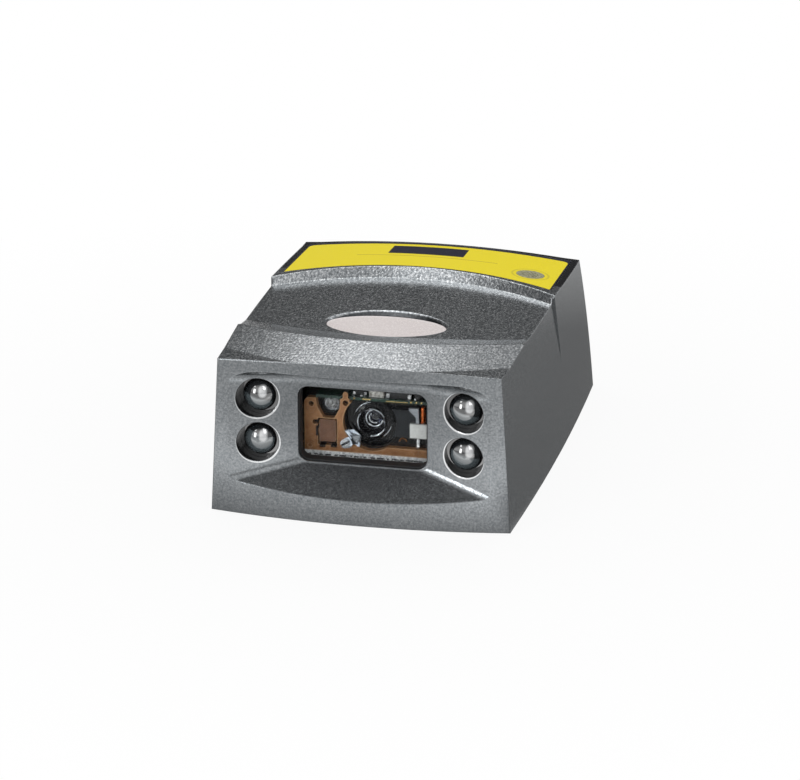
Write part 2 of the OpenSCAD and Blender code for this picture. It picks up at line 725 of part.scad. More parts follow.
module front_lens() color([0.3, 0.35, 0.4, 0.5]) translate([lens_x, at(engine_d), lens_z]) rotate([-90, 0, 0])
    rotate_extrude() {
        bulge_r = 2.6;
        translate([0, glass_depth]) square([glass_r, 1.4]);
        intersection() {
            translate([0, glass_depth + sqrt(pow(bulge_r, 2) - pow(glass_r, 2))]) circle(bulge_r, $fn = 96);
            translate([0, glass_depth - 2]) square([glass_r, 2 + eps]);
        }
    }

module aiming_lens() color([0.6, 0.65, 0.7, 0.5]) translate([aim_x, at(engine_d + aim_depth), aim_z])
    rotate([-90, 0, 0]) rotate_extrude() {
        translate([0, 0.4]) square([aim_r, 0.8]);
        intersection() {
            translate([0, aim_r - 0.9]) circle(aim_r);
            translate([0, -1]) square([aim_r, 1.5]);
        }
    }

module aiming_module() color([0.55, 0.45, 0.25])
    along_y(aim_x, engine_d + aim_depth + 1.2, aim_z, 2 * aim_r, aim_l - 1.2);

module aiming_cover() color([0.5, 0.34, 0.26]) {
    upright(engine_d - 0.4, plate_t + 0.4) translate([cover[0] + cover[2] / 2, cover[1]])
        rounded_rect(cover[2], cover[3], 0.4);
    block([cover[0] - 0.35, engine_d, cover[1] + 1.6], [cover[0] + 0.1, body_d, cover[1] + 3]);
}

// Faceted bright clip beside the lens
module beam_clip() color([0.85, 0.87, 0.9]) difference() {
    union() {
        upright(engine_d - 0.4, 0.4) polygon([[-6.5, 15.6], [-5.6, 14.1], [-4.3, 14.2], [-3.6, 15.1], [-1.9, 14.8],
            [-1.7, 17.4], [-3.4, 18.8], [-5.5, 18.4], [-4.4, 16.9], [-5.6, 16.5]]);
        upright(engine_d - 0.9, 0.6) polygon([[-5.3, 18.4], [-4.6, 18.5], [-1.9, 15.8], [-1.9, 14.9], [-2.4, 14.9]]);
    }
    along_y(clip_at[0], engine_d - 2, clip_at[1], 0.9, 5);
}

module clip_screw() color([0.8, 0.8, 0.82]) translate([clip_at[0], at(engine_d - 0.4), clip_at[1]])
    rotate([90, -30, 0]) screw(0.8, 1.4, 2.2, 0.5);

// Dark block beside the lens, hollowed round the barrel
module optics_block() color([0.14, 0.15, 0.16]) difference() {
    upright(engine_d + 0.1, plate_t - 0.1)
        polygon([[4.2, 17.6], [11.4, 17.6], [11.4, 22.4], [9.4, 24.2], [3.9, 24.2]]);
    along_y(lens_x, engine_d - 1, lens_z, 2 * (barrel_r + 0.9), 4);
}

module side_bracket() color([0.6, 0.62, 0.64]) upright(engine_d - 0.4, 0.5)
    polygon([[9.5, 24.9], [11.8, 25], [11.9, 21.4], [11.2, 21.3], [11.2, 22.8], [9.6, 24.4]]);

module white_pad() color([0.85, 0.85, 0.85]) block([9.8, engine_d - 0.5, 17.8], [13.7, engine_d + 0.1, 21.2]);

module flex_coil() color([0.8, 0.42, 0.2]) translate([12.6, at(body_d - 0.75), 21.3]) rotate_extrude()
    difference() {
        square([0.7, 3.8]);
        for (i = [0:5]) translate([0.75, 0.4 + 0.6 * i]) circle(0.15, $fn = 16);
    }

module engine_board() color([0.15, 0.32, 0.22]) difference() {
    block([engine_board_left, engine_board_d, engine_top],
        [engine_right, engine_back + 0.8, engine_top + engine_board_t]);
    block([lug[0] - lug_r + 0.3, engine_d - 1, engine_top - 1], [lug[0] + lug_r - 0.3, engine_board_d + 0.3, engine_top + 3]);
}

// Parts along the front edge of the engine board
module on_engine_board(x, d, size) translate([x, at(engine_d + d), engine_top + engine_board_t]) cube(size);

module board_capacitor() color([0.92, 0.9, 0.86]) on_engine_board(0, 1, [3.4, 2.2, 1.8]);

module board_diode() color([0.2, 0.2, 0.22]) on_engine_board(4.4, 1, [5, 2.4, 1.7]);

module engine_chips() color([0.1, 0.1, 0.11]) {
    on_engine_board(-3.6, 1.4, [2.6, 2.6, 1.1]);
    on_engine_board(-11, 4.6, [6, 5, 1.2]);
    on_engine_board(-2, 5.4, [7, 5.2, 1.2]);
    on_engine_board(6.8, 5.2, [3, 3.4, 1.5]);
    translate([11.4, at(engine_d + 2.2), engine_top + engine_board_t]) cylinder(d = 2.4, h = 1.6);
}

module sensor_board() color([0.15, 0.32, 0.22])
    block([engine_left + 3, engine_back + 1, engine_z], [engine_right - 2, engine_back + 1.8, engine_top]);

module image_sensor() color([0.25, 0.25, 0.27])
    block([lens_x - 4.2, engine_back, lens_z - 3.6], [lens_x + 4.2, engine_back + 1, lens_z + 3.6]);

module engine_screws() color([0.7, 0.7, 0.72]) for (p = engine_feet())
    translate([p[0], at(p[1]), bracket_z - bracket_t]) rotate([180, 0, 0]) screw(1.5, 3.6, 3, 1);

module bracket_screws() color([0.7, 0.7, 0.72]) for (p = bracket_feet())
    translate([p[0], at(p[1]), base_t + bracket_t]) screw(1.9, 3, 3.4, 1.2);

// Flat cable from the engine board down to its socket on the main board
module engine_ribbon() color([0.75, 0.5, 0.25]) {
    t = 0.3;
    d0 = engine_back - 2;
    top = engine_top + engine_board_t;
    socket_top = board_z + board_t + ribbon_socket_h;
    d1 = board_d0 + 4;
    across(-7, 7) polygon([[at(d0), top], [at(d0 + 5), top], [at(d0 + 7), top - 2], [at(d1), socket_top + 3],
        [at(d1), socket_top], [at(d1 + t), socket_top], [at(d1 + t), socket_top + 3 + t],
        [at(d0 + 7 + t), top - 2 + t], [at(d0 + 5 + t), top + t], [at(d0), top + t]]);
}

module main_board() color([0.12, 0.34, 0.22]) difference() {
    block([-board_w / 2, board_d0, board_z], [board_w / 2, board_d0 + board_l, board_z + board_t]);
    for (x = [-1, 1], y = [post_in, board_l - post_in])
        translate([x * post_x, at(board_d0 + y), 0]) cylinder(d = 2.4, h = 20);
}

module on_main_board(x, d, size) translate([x, at(board_d0 + d), board_z + board_t]) cube(size);

module processor_chip() color([0.1, 0.1, 0.11]) on_main_board(-7, chip_row, [14, 14, 1.6]);
module memory_chips() color([0.1, 0.1, 0.11]) {
    for (x = [-side_chip, 12]) on_main_board(x, chip_row, [9, 13, 1.2]);
    on_main_board(-side_chip, power_row, [8, 8, 1.2]);
}
module power_parts() color([0.2, 0.2, 0.22]) {
    on_main_board(12, power_row, [7, 7, 4]);
    for (i = [0:2]) translate([-8 + 6 * i, at(board_d0 + power_row + 4), board_z + board_t]) cylinder(d = 5, h = 5.5);
}
module ribbon_socket() color([0.85, 0.82, 0.75]) on_main_board(socket_x, 2, [16, 4.5, ribbon_socket_h]);
module host_socket() color([0.9, 0.88, 0.82]) on_main_board(socket_x, host_row, [16, 8, 6]);

module board_posts() color([0.8, 0.68, 0.35]) for (x = [-1, 1], y = [post_in, board_l - post_in])
    translate([x * post_x, at(board_d0 + y), base_t]) difference() {
        cylinder(d = post_af / cos(30), h = board_z - base_t, $fn = 6);
        translate([0, 0, -1]) cylinder(d = 2, h = 10);
    }

module board_screws() color([0.7, 0.7, 0.72]) for (x = [-1, 1], y = [post_in, board_l - post_in])
    translate([x * post_x, at(board_d0 + y), board_z + board_t]) screw(1.9, 5.5, 4, 1.4);

module beeper() color([0.08, 0.08, 0.09]) translate([port_x, at(port_d), beeper_seat - beeper_h]) difference() {
    cylinder(d = beeper_d, h = beeper_h);
    translate([0, 0, beeper_h - 1]) cylinder(d = 2, h = 3);
}

module inlet_grommet() color([0.07, 0.07, 0.07]) translate([0, at(inlet_face), inlet_z]) rotate([-90, 0, 0])
    difference() {
        union() {
            cylinder(d = inlet_flange_d, h = inlet_flange_t);
            translate([0, 0, -inlet_wall - eps]) cylinder(d = inlet_neck_d, h = inlet_wall + 2 * eps);
            translate([0, 0, -inlet_wall - inlet_flange_t]) cylinder(d = inlet_flange_d, h = inlet_flange_t);
        }
        translate([0, 0, -10]) cylinder(d = inlet_bore_d, h = 20);
    }

module cover_screws() color([0.3, 0.3, 0.32]) for (side = [-1, 1], p = [front_boss, rear_boss])
    translate([side * p[0], at(p[1]), head_h]) rotate([180, 0, 0]) screw(screw_d - 0.1, 6.4, head_d, head_h - 0.1);

module fixing_inserts() color([0.8, 0.68, 0.35]) for (x = [-1, 1], y = [-1, 1])
    translate([x * insert_x / 2, y * insert_y / 2, 0]) difference() {
        cylinder(d = insert_d, h = base_t + 2);
        translate([0, 0, -1]) cylinder(d = insert_bore_d, h = 10);
    }

top_housing();
base_plate();
base_seal();
scan_window();
window_seal();
label_plate();
badge_plate();
beeper_mesh();
lens_upper_left();
lens_lower_left();
lens_upper_right();
lens_lower_right();
lamp_board_left();
lamp_board_right();
emitters_left();
emitters_right();
lamp_board_screws();
engine_bracket();
gasket_strip();
engine_plate();
engine_body();
lens_barrel();
lens_clamp();
front_lens();
aiming_lens();
aiming_module();
aiming_cover();
beam_clip();
clip_screw();
optics_block();
side_bracket();
white_pad();
flex_coil();
engine_board();
board_capacitor();
board_diode();
engine_chips();
sensor_board();
image_sensor();
engine_screws();
bracket_screws();
engine_ribbon();
main_board();
processor_chip();
memory_chips();
power_parts();
ribbon_socket();
host_socket();
board_posts();
board_screws();
beeper();
inlet_grommet();
cover_screws();
fixing_inserts();
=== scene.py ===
"""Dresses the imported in-counter scanner head and sets the studio that it is seen in."""

import math

import bmesh
import bpy
from bpy.props import FloatProperty, FloatVectorProperty, PointerProperty
from mathutils import Matrix, Vector


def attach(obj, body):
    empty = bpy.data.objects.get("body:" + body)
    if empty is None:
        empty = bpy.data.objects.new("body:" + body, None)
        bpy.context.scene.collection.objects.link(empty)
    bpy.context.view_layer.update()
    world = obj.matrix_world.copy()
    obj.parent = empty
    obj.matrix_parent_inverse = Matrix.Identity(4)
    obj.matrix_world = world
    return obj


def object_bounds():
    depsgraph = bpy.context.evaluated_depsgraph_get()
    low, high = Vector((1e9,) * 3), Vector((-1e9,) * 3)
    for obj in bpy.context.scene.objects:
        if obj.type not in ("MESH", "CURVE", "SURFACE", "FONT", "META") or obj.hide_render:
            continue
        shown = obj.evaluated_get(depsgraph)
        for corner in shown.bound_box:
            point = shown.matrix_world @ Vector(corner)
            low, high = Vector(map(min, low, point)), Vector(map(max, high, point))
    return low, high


bl_info = {
    "name": "Scanner Head Dresser",
    "version": (1, 0, 0),
    "blender": (4, 5, 0),
    "location": "View3D > Sidebar > Scanner Head",
    "description": "Dresses the packed in-counter scanner head and sets its studio",
    "category": "Object",
}

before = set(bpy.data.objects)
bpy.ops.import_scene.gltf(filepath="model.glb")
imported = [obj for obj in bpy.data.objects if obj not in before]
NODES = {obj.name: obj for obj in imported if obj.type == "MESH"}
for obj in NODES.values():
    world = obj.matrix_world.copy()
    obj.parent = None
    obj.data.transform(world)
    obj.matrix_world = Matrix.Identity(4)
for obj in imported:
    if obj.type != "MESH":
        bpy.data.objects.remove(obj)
CAD_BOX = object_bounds()
MM = 0.001
FRONT_Y = CAD_BOX[0][1]

# Places and sizes of the solids in metres; a name that ends in D is a depth in millimetres for deep()
LAMP_X, LAMP_Z, LAMP_PITCH, WELL_R = 24.05 * MM, 17.1 * MM, 10.7 * MM, 4.7 * MM
WINDOW_HALF, WINDOW_Z, WINDOW_CORNER = (15.2 * MM, 0, 9.2 * MM), 21.5 * MM, 2.5 * MM
WINDOW_WALL_D, WELLS_END_D = 6.6, 14
STEP_D, STEP_R = 64.6, 96 * MM
PORT_X, PORT_D = 26.1 * MM, 72.4
DISH_D, DISH_L, DISH_W = 31, 29.3 * MM, 18.5 * MM
LABEL_D, LABEL_HALF, LABEL_CORNER = 73.6, (32.6 * MM, 15 * MM, 0), 1.6 * MM
LABEL_BORDER = 3.4 * MM
BAR_X, BAR_D, BAR_HALF = -1.3 * MM, 83.1, (9.4 * MM, 3.6 * MM, 0)
RULE_X, RULE_D, RULE_HALF = -0.5 * MM, 77.5, (17.5 * MM, 0.12 * MM, 0)
STRIP_LINE_Z, STRIP_LINE_HALF = 11.95 * MM, (20 * MM, 0, 0.19 * MM)

# Middles of the engine's two lenses (x, z) and of its clip screw (x, d, z), in millimetres for spot()
CAMERA_LENS, AIMING_LENS, CLIP_SCREW = (0.8, 20.8), (-9.2, 23.6), (-5.4, 0, 15.3)

# Softness of print, relief of brushed streaks, slant of the painted-reflection line on a lamp lens, painted
# shade in a gap
PRINT_EDGE = 0.1 * MM
STREAK_DEPTH_MM = 0.004
LENS_SLANT = 0.3
PAINTED_GAP_SHADE = (0.004, 0.004, 0.005, 1)

# Camera of the photograph: its right and up, its place in metres, its focal length and film in mm
CAMERA_RIGHT = Vector((0.97534322, 0.22067298, -0.00300697))
CAMERA_UP = Vector((-0.07272643, 0.33424488, 0.93967613))
CAMERA_PLACE = (0.176198, -0.781953, 0.306164)
CAMERA_FOCAL, CAMERA_FILM = 160.23, 36.0

# Point in metres that the soft boxes shine at
AIM_POINT = Vector((0, 0, 0.02))


def deep(d):
    """Y of a point that lies d millimetres behind the foremost point of the front."""
    return FRONT_Y + d * MM


def linear(rgb):
    """Scene-linear colour of a colour given in 8-bit screen values."""
    return tuple((c / 255 / 12.92) if c <= 10 else ((c / 255 + 0.055) / 1.055) ** 2.4 for c in rgb) + (1.0,)


# Node trees


def put(tree, kind, **values):
    """Adds a node and sets the properties that are named."""
    node = tree.nodes.new(kind)
    for name, value in values.items():
        setattr(node, name, value)
    return node


def join(tree, source, target):
    """Links an output to an input."""
    tree.links.new(source, target)


def feed(tree, sockets, values):
    """Links each socket to another one, or sets it to a plain value."""
    for socket, value in zip(sockets, values):
        if isinstance(value, bpy.types.NodeSocket):
            join(tree, value, socket)
        else:
            socket.default_value = value


def math_node(tree, operation, first, second=0.5, clamp=False):
    """Result of an operation on one or two numbers."""
    node = put(tree, "ShaderNodeMath", operation=operation, use_clamp=clamp)
    feed(tree, node.inputs, (first, second))
    return node.outputs[0]


def times(tree, first, *others):
    """Product of two or more values."""
    for other in others:
        first = math_node(tree, "MULTIPLY", first, other)
    return first


def vector_node(tree, operation, *values):
    """Vector that an operation gives, or the number where it gives a length or a dot product."""
    node = put(tree, "ShaderNodeVectorMath", operation=operation)
    feed(tree, node.inputs, values)
    return node.outputs["Value" if operation in ("LENGTH", "DOT_PRODUCT") else "Vector"]


def place_of(tree):
    """Place of the shaded point on the part."""
    return put(tree, "ShaderNodeTexCoord").outputs["Object"]


def axes(tree, vector):
    """X, y and z of a vector."""
    node = put(tree, "ShaderNodeSeparateXYZ")
    join(tree, vector, node.inputs[0])
    return node.outputs


def blend_colour(tree, mask, low, high):
    """Colour that goes from low to high with the mask."""
    node = put(tree, "ShaderNodeMix", data_type="RGBA")
    feed(tree, (node.inputs[0], node.inputs[6], node.inputs[7]), (mask, low, high))
    return node.outputs[2]


def blend_shaders(tree, share, low, high):
    """Shader that goes from low to high with the share."""
    node = put(tree, "ShaderNodeMixShader")
    feed(tree, node.inputs, (share, low, high))
    return node.outputs[0]


def spread(tree, value, low, high, new_low, new_high):
    """Maps value from low..high to new_low..new_high."""
    node = put(tree, "ShaderNodeMapRange")
    names = ("Value", "From Min", "From Max", "To Min", "To Max")
    feed(tree, [node.inputs[name] for name in names], (value, low, high, new_low, new_high))
    return node.outputs["Result"]


def group_named(name):
    """Makes the function below it build its node group once, and give that one from then on."""
    def once(build):
        return lambda: bpy.data.node_groups.get(name) or build(name)
    return once


def new_group(name, inputs, outputs):
    """Shader node group with number or vector sockets; an input is (name, default)."""
    group = bpy.data.node_groups.new(name, "ShaderNodeTree")
    for title, default in inputs:
        kind = "NodeSocketVector" if isinstance(default, tuple) else "NodeSocketFloat"
        socket = group.interface.new_socket(title, in_out="INPUT", socket_type=kind)
        socket.default_value = default
    for title in outputs:
        group.interface.new_socket(title, in_out="OUTPUT", socket_type="NodeSocketFloat")
    return group, group.nodes.new("NodeGroupInput").outputs, group.nodes.new("NodeGroupOutput").inputs


@group_named("Surface grain")
def grain_group(name):
    """Fine paint or moulding grain and slow drifts of tone, in millimetres of the part."""
    inputs = [("Grain per mm", 3.0), ("Drift per mm", 0.06), ("Squash", (1.0, 1.0, 1.0))]
    group, given, result = new_group(name, inputs, ["Grain", "Drift"])
    place = vector_node(group, "MULTIPLY", place_of(group), given["Squash"])
    for title, per_mm, detail in (("Grain", "Grain per mm", 2.0), ("Drift", "Drift per mm", 3.0)):
        noise = put(group, "ShaderNodeTexNoise", noise_dimensions="3D")
        noise.inputs["Detail"].default_value = detail
        noise.inputs["Roughness"].default_value = 0.62
        join(group, place, noise.inputs["Vector"])
        join(group, times(group, given[per_mm], 1 / MM), noise.inputs["Scale"])
        join(group, spread(group, noise.outputs["Fac"], 0.32, 0.68, 0.0, 1.0), result[title])
    return group


@group_named("Brushed streaks")
def streak_group(name):
    """Brushed or turned streaks: noise drawn out along one axis."""
    group, given, result = new_group(name, [("Stretch", (4000.0, 4000.0, 200.0))], ["Streak"])
    noise = put(group, "ShaderNodeTexNoise")
    noise.inputs["Scale"].default_value = 1.0
    noise.inputs["Detail"].default_value = 3.0
    join(group, vector_node(group, "MULTIPLY", place_of(group), given["Stretch"]), noise.inputs["Vector"])
    join(group, spread(group, noise.outputs["Fac"], 0.3, 0.7, 0.0, 1.0), result["Streak"])
    return group


@group_named("Printed field")
def field_group(name):
    """Mask of a rounded rectangle in the part's x-y plane or, where Upright is 1, in its x-z plane."""
    inputs = [("Centre", (0.0, 0.0, 0.0)), ("Half", (0.01, 0.01, 0.0)), ("Corner", 0.0), ("Edge", 0.00006),
              ("Upright", 0.0)]
    group, given, result = new_group(name, inputs, ["Mask"])
    away = vector_node(group, "ABSOLUTE", vector_node(group, "SUBTRACT", place_of(group), given["Centre"]))
    beyond = axes(group, vector_node(group, "SUBTRACT", away, given["Half"]))
    across = math_node(group, "ADD", beyond[0], given["Corner"])
    along = spread(group, given["Upright"], 0.0, 1.0, beyond[1], beyond[2])
    along = math_node(group, "ADD", along, given["Corner"])
    outer = put(group, "ShaderNodeCombineXYZ")
    join(group, math_node(group, "MAXIMUM", across, 0.0), outer.inputs[0])
    join(group, math_node(group, "MAXIMUM", along, 0.0), outer.inputs[1])
    length = vector_node(group, "LENGTH", outer.outputs[0])
    inner = math_node(group, "MINIMUM", math_node(group, "MAXIMUM", across, along), 0.0)
    gap = math_node(group, "SUBTRACT", math_node(group, "ADD", length, inner), given["Corner"])
    soft = math_node(group, "DIVIDE", gap, given["Edge"])
    join(group, math_node(group, "SUBTRACT", 0.5, soft, clamp=True), result["Mask"])
    return group


@group_named("Round distance")
def round_group(name):
    """Distance from a point, or from its mirror images, counted along the axes that the weights name."""
    inputs = [("Middle", (0.0, 0.0, 0.0)), ("Offset", (0.0, 0.0, 0.0)), ("Weights", (1.0, 1.0, 0.0))]
    group, given, result = new_group(name, inputs, ["Distance"])
    away = vector_node(group, "ABSOLUTE", vector_node(group, "SUBTRACT", place_of(group), given["Middle"]))
    away = vector_node(group, "SUBTRACT", away, given["Offset"])
    away = vector_node(group, "MULTIPLY", away, given["Weights"])
    join(group, vector_node(group, "LENGTH", away), result["Distance"])
    return group


def rounded_normal(tree, radius):
    """Normal of the surface as if its edges were rounded; the radius is in metres."""
    rounded = put(tree, "ShaderNodeBevel", samples=6)
    feed(tree, [rounded.inputs["Radius"]], [radius])
    return rounded.outputs["Normal"]


@group_named("Worn edges")
def edge_band_group(name):
    """Mask that is 1 along a solid's edges, where a rounded normal turns away from the flat one."""
    group, given, result = new_group(name, [("Radius", 0.0002), ("Low", 0.8), ("High", 0.985)], ["Mask"])
    flat = put(group, "ShaderNodeNewGeometry").outputs["Normal"]
    turn = vector_node(group, "DOT_PRODUCT", rounded_normal(group, given["Radius"]), flat)
    join(group, spread(group, turn, given["Low"], given["High"], 1.0, 0.0), result["Mask"])
    return group


def use_group(tree, group, **values):
    """Places a node group; its sockets are named with _ for each space."""
    node = put(tree, "ShaderNodeGroup", node_tree=group)
    for name, value in values.items():
        node.inputs[name.replace("_", " ")].default_value = value
    return node.outputs


def round_distance(tree, middle, offset=(0, 0, 0), weights=(1, 1, 0)):
    """Distance from a middle or, with an offset, from the nearer of its mirror images."""
    return use_group(tree, round_group(), Middle=middle, Offset=offset, Weights=weights)["Distance"]


def field(tree, centre, half, corner=0.0, edge=PRINT_EDGE, upright=0):
    """Mask of a rounded rectangle."""
    return use_group(tree, field_group(), Centre=centre, Half=half, Corner=corner, Edge=edge,
                     Upright=upright)["Mask"]


def grain(tree, per_mm, drift_mm, squash=(1, 1, 1)):
    """Fine grain and slow drift."""
    made = use_group(tree, grain_group(), Grain_per_mm=per_mm, Drift_per_mm=drift_mm, Squash=squash)
    return made["Grain"], made["Drift"]


def edge_mask(tree, radius_mm, low=0.8, high=0.985):
    """Mask of a band along a solid's edges."""
    return use_group(tree, edge_band_group(), Radius=radius_mm * MM, Low=low, High=high)["Mask"]


def finish(name, colour, metallic=0.0, roughness=0.5, coat=0.0, coat_roughness=0.1, specular=0.5, ior=1.5,
           transmission=0.0):
    """Starts a material: a Principled shader with its uniform values set on its own sockets."""
    material = bpy.data.materials.new(name)
    material.use_nodes = True
    tree = material.node_tree
    shader = tree.nodes["Principled BSDF"]
    names = ("Base Color", "Metallic", "Roughness", "Coat Weight", "Coat Roughness", "IOR",
             "Specular IOR Level", "Transmission Weight")
    values = (colour, metallic, roughness, coat, coat_roughness, ior, specular, transmission)
    feed(tree, [shader.inputs[title] for title in names], values)
    return material, tree, shader


def bump(tree, shader, height, depth_mm, edge_mm=0.0):
    """Relief of the given depth on a surface whose edges may look rounded."""
    node = put(tree, "ShaderNodeBump")
    if edge_mm:
        join(tree, rounded_normal(tree, edge_mm * MM), node.inputs["Normal"])
    node.inputs["Strength"].default_value = 1.0
    node.inputs["Distance"].default_value = depth_mm * MM
    join(tree, height, node.inputs["Height"])
    join(tree, node.outputs["Normal"], shader.inputs["Normal"])


def grained(name, dark, light, metallic=0.0, roughness=(0.4, 0.5), per_mm=3.0, drift_mm=0.06, depth_mm=0.01,
            coat=0.0, specular=0.5, drift_share=0.3, edge_mm=0.0, squash=(1, 1, 1)):
    """A finish whose tone and gloss vary with a fine grain and a slow drift."""
    material, tree, shader = finish(name, light, metallic, roughness[0], coat, specular=specular)
    fine, drift = grain(tree, per_mm, drift_mm, squash)
    tone = math_node(tree, "ADD", times(tree, fine, 1 - drift_share), times(tree, drift, drift_share))
    join(tree, blend_colour(tree, tone, dark, light), shader.inputs["Base Color"])
    join(tree, spread(tree, fine, 0, 1, *roughness), shader.inputs["Roughness"])
    if depth_mm:
        bump(tree, shader, fine, depth_mm, edge_mm)
    return material


def shade(material, mask, colour):
    """Blends a material's linked base colour towards another one where the mask is 1."""
    tree = material.node_tree
    socket = tree.nodes["Principled BSDF"].inputs["Base Color"]
    join(tree, blend_colour(tree, mask, socket.links[0].from_socket, colour), socket)


def brushed(name, dark, light, stretch, roughness=(0.2, 0.4), metallic=1.0):
    """Metal with streaks; stretch is how fast they change along x, y and z, per metre."""
    material, tree, shader = finish(name, light, metallic, roughness[0])
    streak = use_group(tree, streak_group(), Stretch=stretch)["Streak"]
    join(tree, blend_colour(tree, streak, dark, light), shader.inputs["Base Color"])
    join(tree, spread(tree, streak, 0, 1, roughness[1], roughness[0]), shader.inputs["Roughness"])
    bump(tree, shader, streak, STREAK_DEPTH_MM)
    return material


def clear(name, tint, roughness=0.02, ior=1.5, straight=0.0):
    """Clear glass or plastic; straight is the share of a look through it that isn't bent or dimmed."""
    material, tree, shader = finish(name, tint, 0.0, roughness, ior=ior, transmission=1.0)
    drift = grain(tree, 0.8, 0.1)[1]
    join(tree, spread(tree, drift, 0, 1, roughness, roughness + 0.02), shader.inputs["Roughness"])
    through = put(tree, "ShaderNodeBsdfTransparent")
    through.inputs["Color"].default_value = tint
    shadow = put(tree, "ShaderNodeLightPath").outputs["Is Shadow Ray"]
    bare = math_node(tree, "MAXIMUM", shadow, straight)
    shown = blend_shaders(tree, bare, shader.outputs[0], through.outputs[0])
    join(tree, shown, tree.nodes["Material Output"].inputs["Surface"])
    return material


# Pieces


def dress(material, *names):
    """Gives CAD nodes a finish."""
    for name in names:
        slots = NODES[name].data.materials
        for i in range(len(slots)):
            slots[i] = material


def spot(x, d, z):
    """Point of the part that lies x right, d behind the foremost point and z up, in millimetres."""
    return Vector((x * MM, deep(d), z * MM))


def bead(shape, middle, radius, thick, start=0.0, end=360.0):
    """Adds a round bead bent to a ring, or to part of one, that faces the window; in mm and degrees."""
    whole = end - start >= 360
    steps, sides = max(6, int((end - start) / 6)), 10
    loops = []
    for i in range(steps if whole else steps + 1):
        angle = math.radians(start + (end - start) * i / steps)
        out = Vector((math.cos(angle), 0, math.sin(angle)))
        loop = []
        for j in range(sides):
            turn = math.tau * j / sides
            offset = out * (radius + thick * math.cos(turn)) + Vector((0, thick * math.sin(turn), 0))
            loop.append(shape.verts.new(middle + offset * MM))
        loops.append(loop)
    for i in range(len(loops) if whole else len(loops) - 1):
        here, there = loops[i], loops[(i + 1) % len(loops)]
        for j in range(sides):
            k = (j + 1) % sides
            shape.faces.new((here[j], here[k], there[k], there[j])).smooth = True
    if not whole:
        shape.faces.new(loops[0])
        shape.faces.new(loops[-1])


def small_block(shape, low, high):
    """Adds a block with eased edges between two points given as for spot()."""
    low, high = spot(*low), spot(*high)
    place = Matrix.Translation((low + high) / 2) @ Matrix.Diagonal((high - low).to_4d())
    made = bmesh.ops.create_cube(shape, size=1.0, matrix=place)
    edges = list(dict.fromkeys(e for v in made["verts"] for e in v.link_edges))
    bmesh.ops.bevel(shape, geom=edges, offset=0.06 * MM, segments=2, affect="EDGES", profile=0.5)


def add_piece(name, shape, material):
    """Makes a small piece of the engine from its shape."""
    bmesh.ops.recalc_face_normals(shape, faces=shape.faces)
    mesh = bpy.data.meshes.new(name)
    shape.to_mesh(mesh)
    shape.free()
    mesh.materials.append(material)
    piece = bpy.data.objects.new(name, mesh)
    bpy.context.scene.collection.objects.link(piece)
    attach(piece, "root")


def add_blocks(name, corners, material):
    """Makes a piece of small blocks from their low and high corners."""
    shape = bmesh.new()
    for low, high in corners:
        small_block(shape, low, high)
    add_piece(name, shape, material)


class HousingSettings(bpy.types.PropertyGroup):
    """Sizes and colours of the painted housing."""

    paint_dark: FloatVectorProperty(
        name="Paint, dark", description="Darker tone of the graphite paint", size=4, subtype="COLOR",
        default=(0.215, 0.233, 0.245, 1), min=0, max=1)
    paint_light: FloatVectorProperty(
        name="Paint, light", description="Lighter tone of the graphite paint", size=4, subtype="COLOR",
        default=(0.375, 0.39, 0.402, 1), min=0, max=1)
    edge: FloatProperty(
        name="Edge radius", description="Rounding that the housing's edges show", default=0.45 * MM,
        unit="LENGTH", subtype="DISTANCE", min=0.0001, max=0.001)


class LabelSettings(bpy.types.PropertyGroup):
    """Colours of the label and the badge plate."""

    yellow: FloatVectorProperty(
        name="Label yellow", description="Ground colour of the label", default=linear((234, 214, 22)),
        size=4, subtype="COLOR", min=0, max=1)
    navy: FloatVectorProperty(
        name="Label navy", description="Colour of the label's edge and bar", default=linear((22, 22, 42)),
        size=4, subtype="COLOR", min=0, max=1)
    pearl: FloatVectorProperty(
        name="Badge pearl", description="Colour of the oval badge plate", default=linear((238, 230, 228)),
        size=4, subtype="COLOR", min=0, max=1)


class EngineSettings(bpy.types.PropertyGroup):
    """Colours of the imaging engine behind the window."""

    bronze: FloatVectorProperty(
        name="Plate bronze", description="Colour of the engine's front plate", default=linear((182, 132, 90)),
        size=4, subtype="COLOR", min=0, max=1)
    board: FloatVectorProperty(
        name="Board green", description="Colour of the circuit boards", default=linear((18, 62, 48)),
        size=4, subtype="COLOR", min=0, max=1)


class StudioSettings(bpy.types.PropertyGroup):
    """Light levels of the studio."""

    ambient: FloatProperty(
        name="Ambient", description="Strength of the light from all round", default=0.78, min=0, max=2,
        subtype="FACTOR")
    key: FloatProperty(
        name="Key", description="Brightness of the front soft boxes", default=2.4, min=0, max=20)
    top: FloatProperty(
        name="Top", description="Brightness of the soft box above and behind", default=0.6, min=0, max=20)
    band: FloatProperty(
        name="Band", description="Brightness of the band over the head that gloss shows", default=2.9, min=0,
        max=20)


def settings():
    """Settings of the scanner head in this scene."""
    return bpy.context.scene.scanner_head


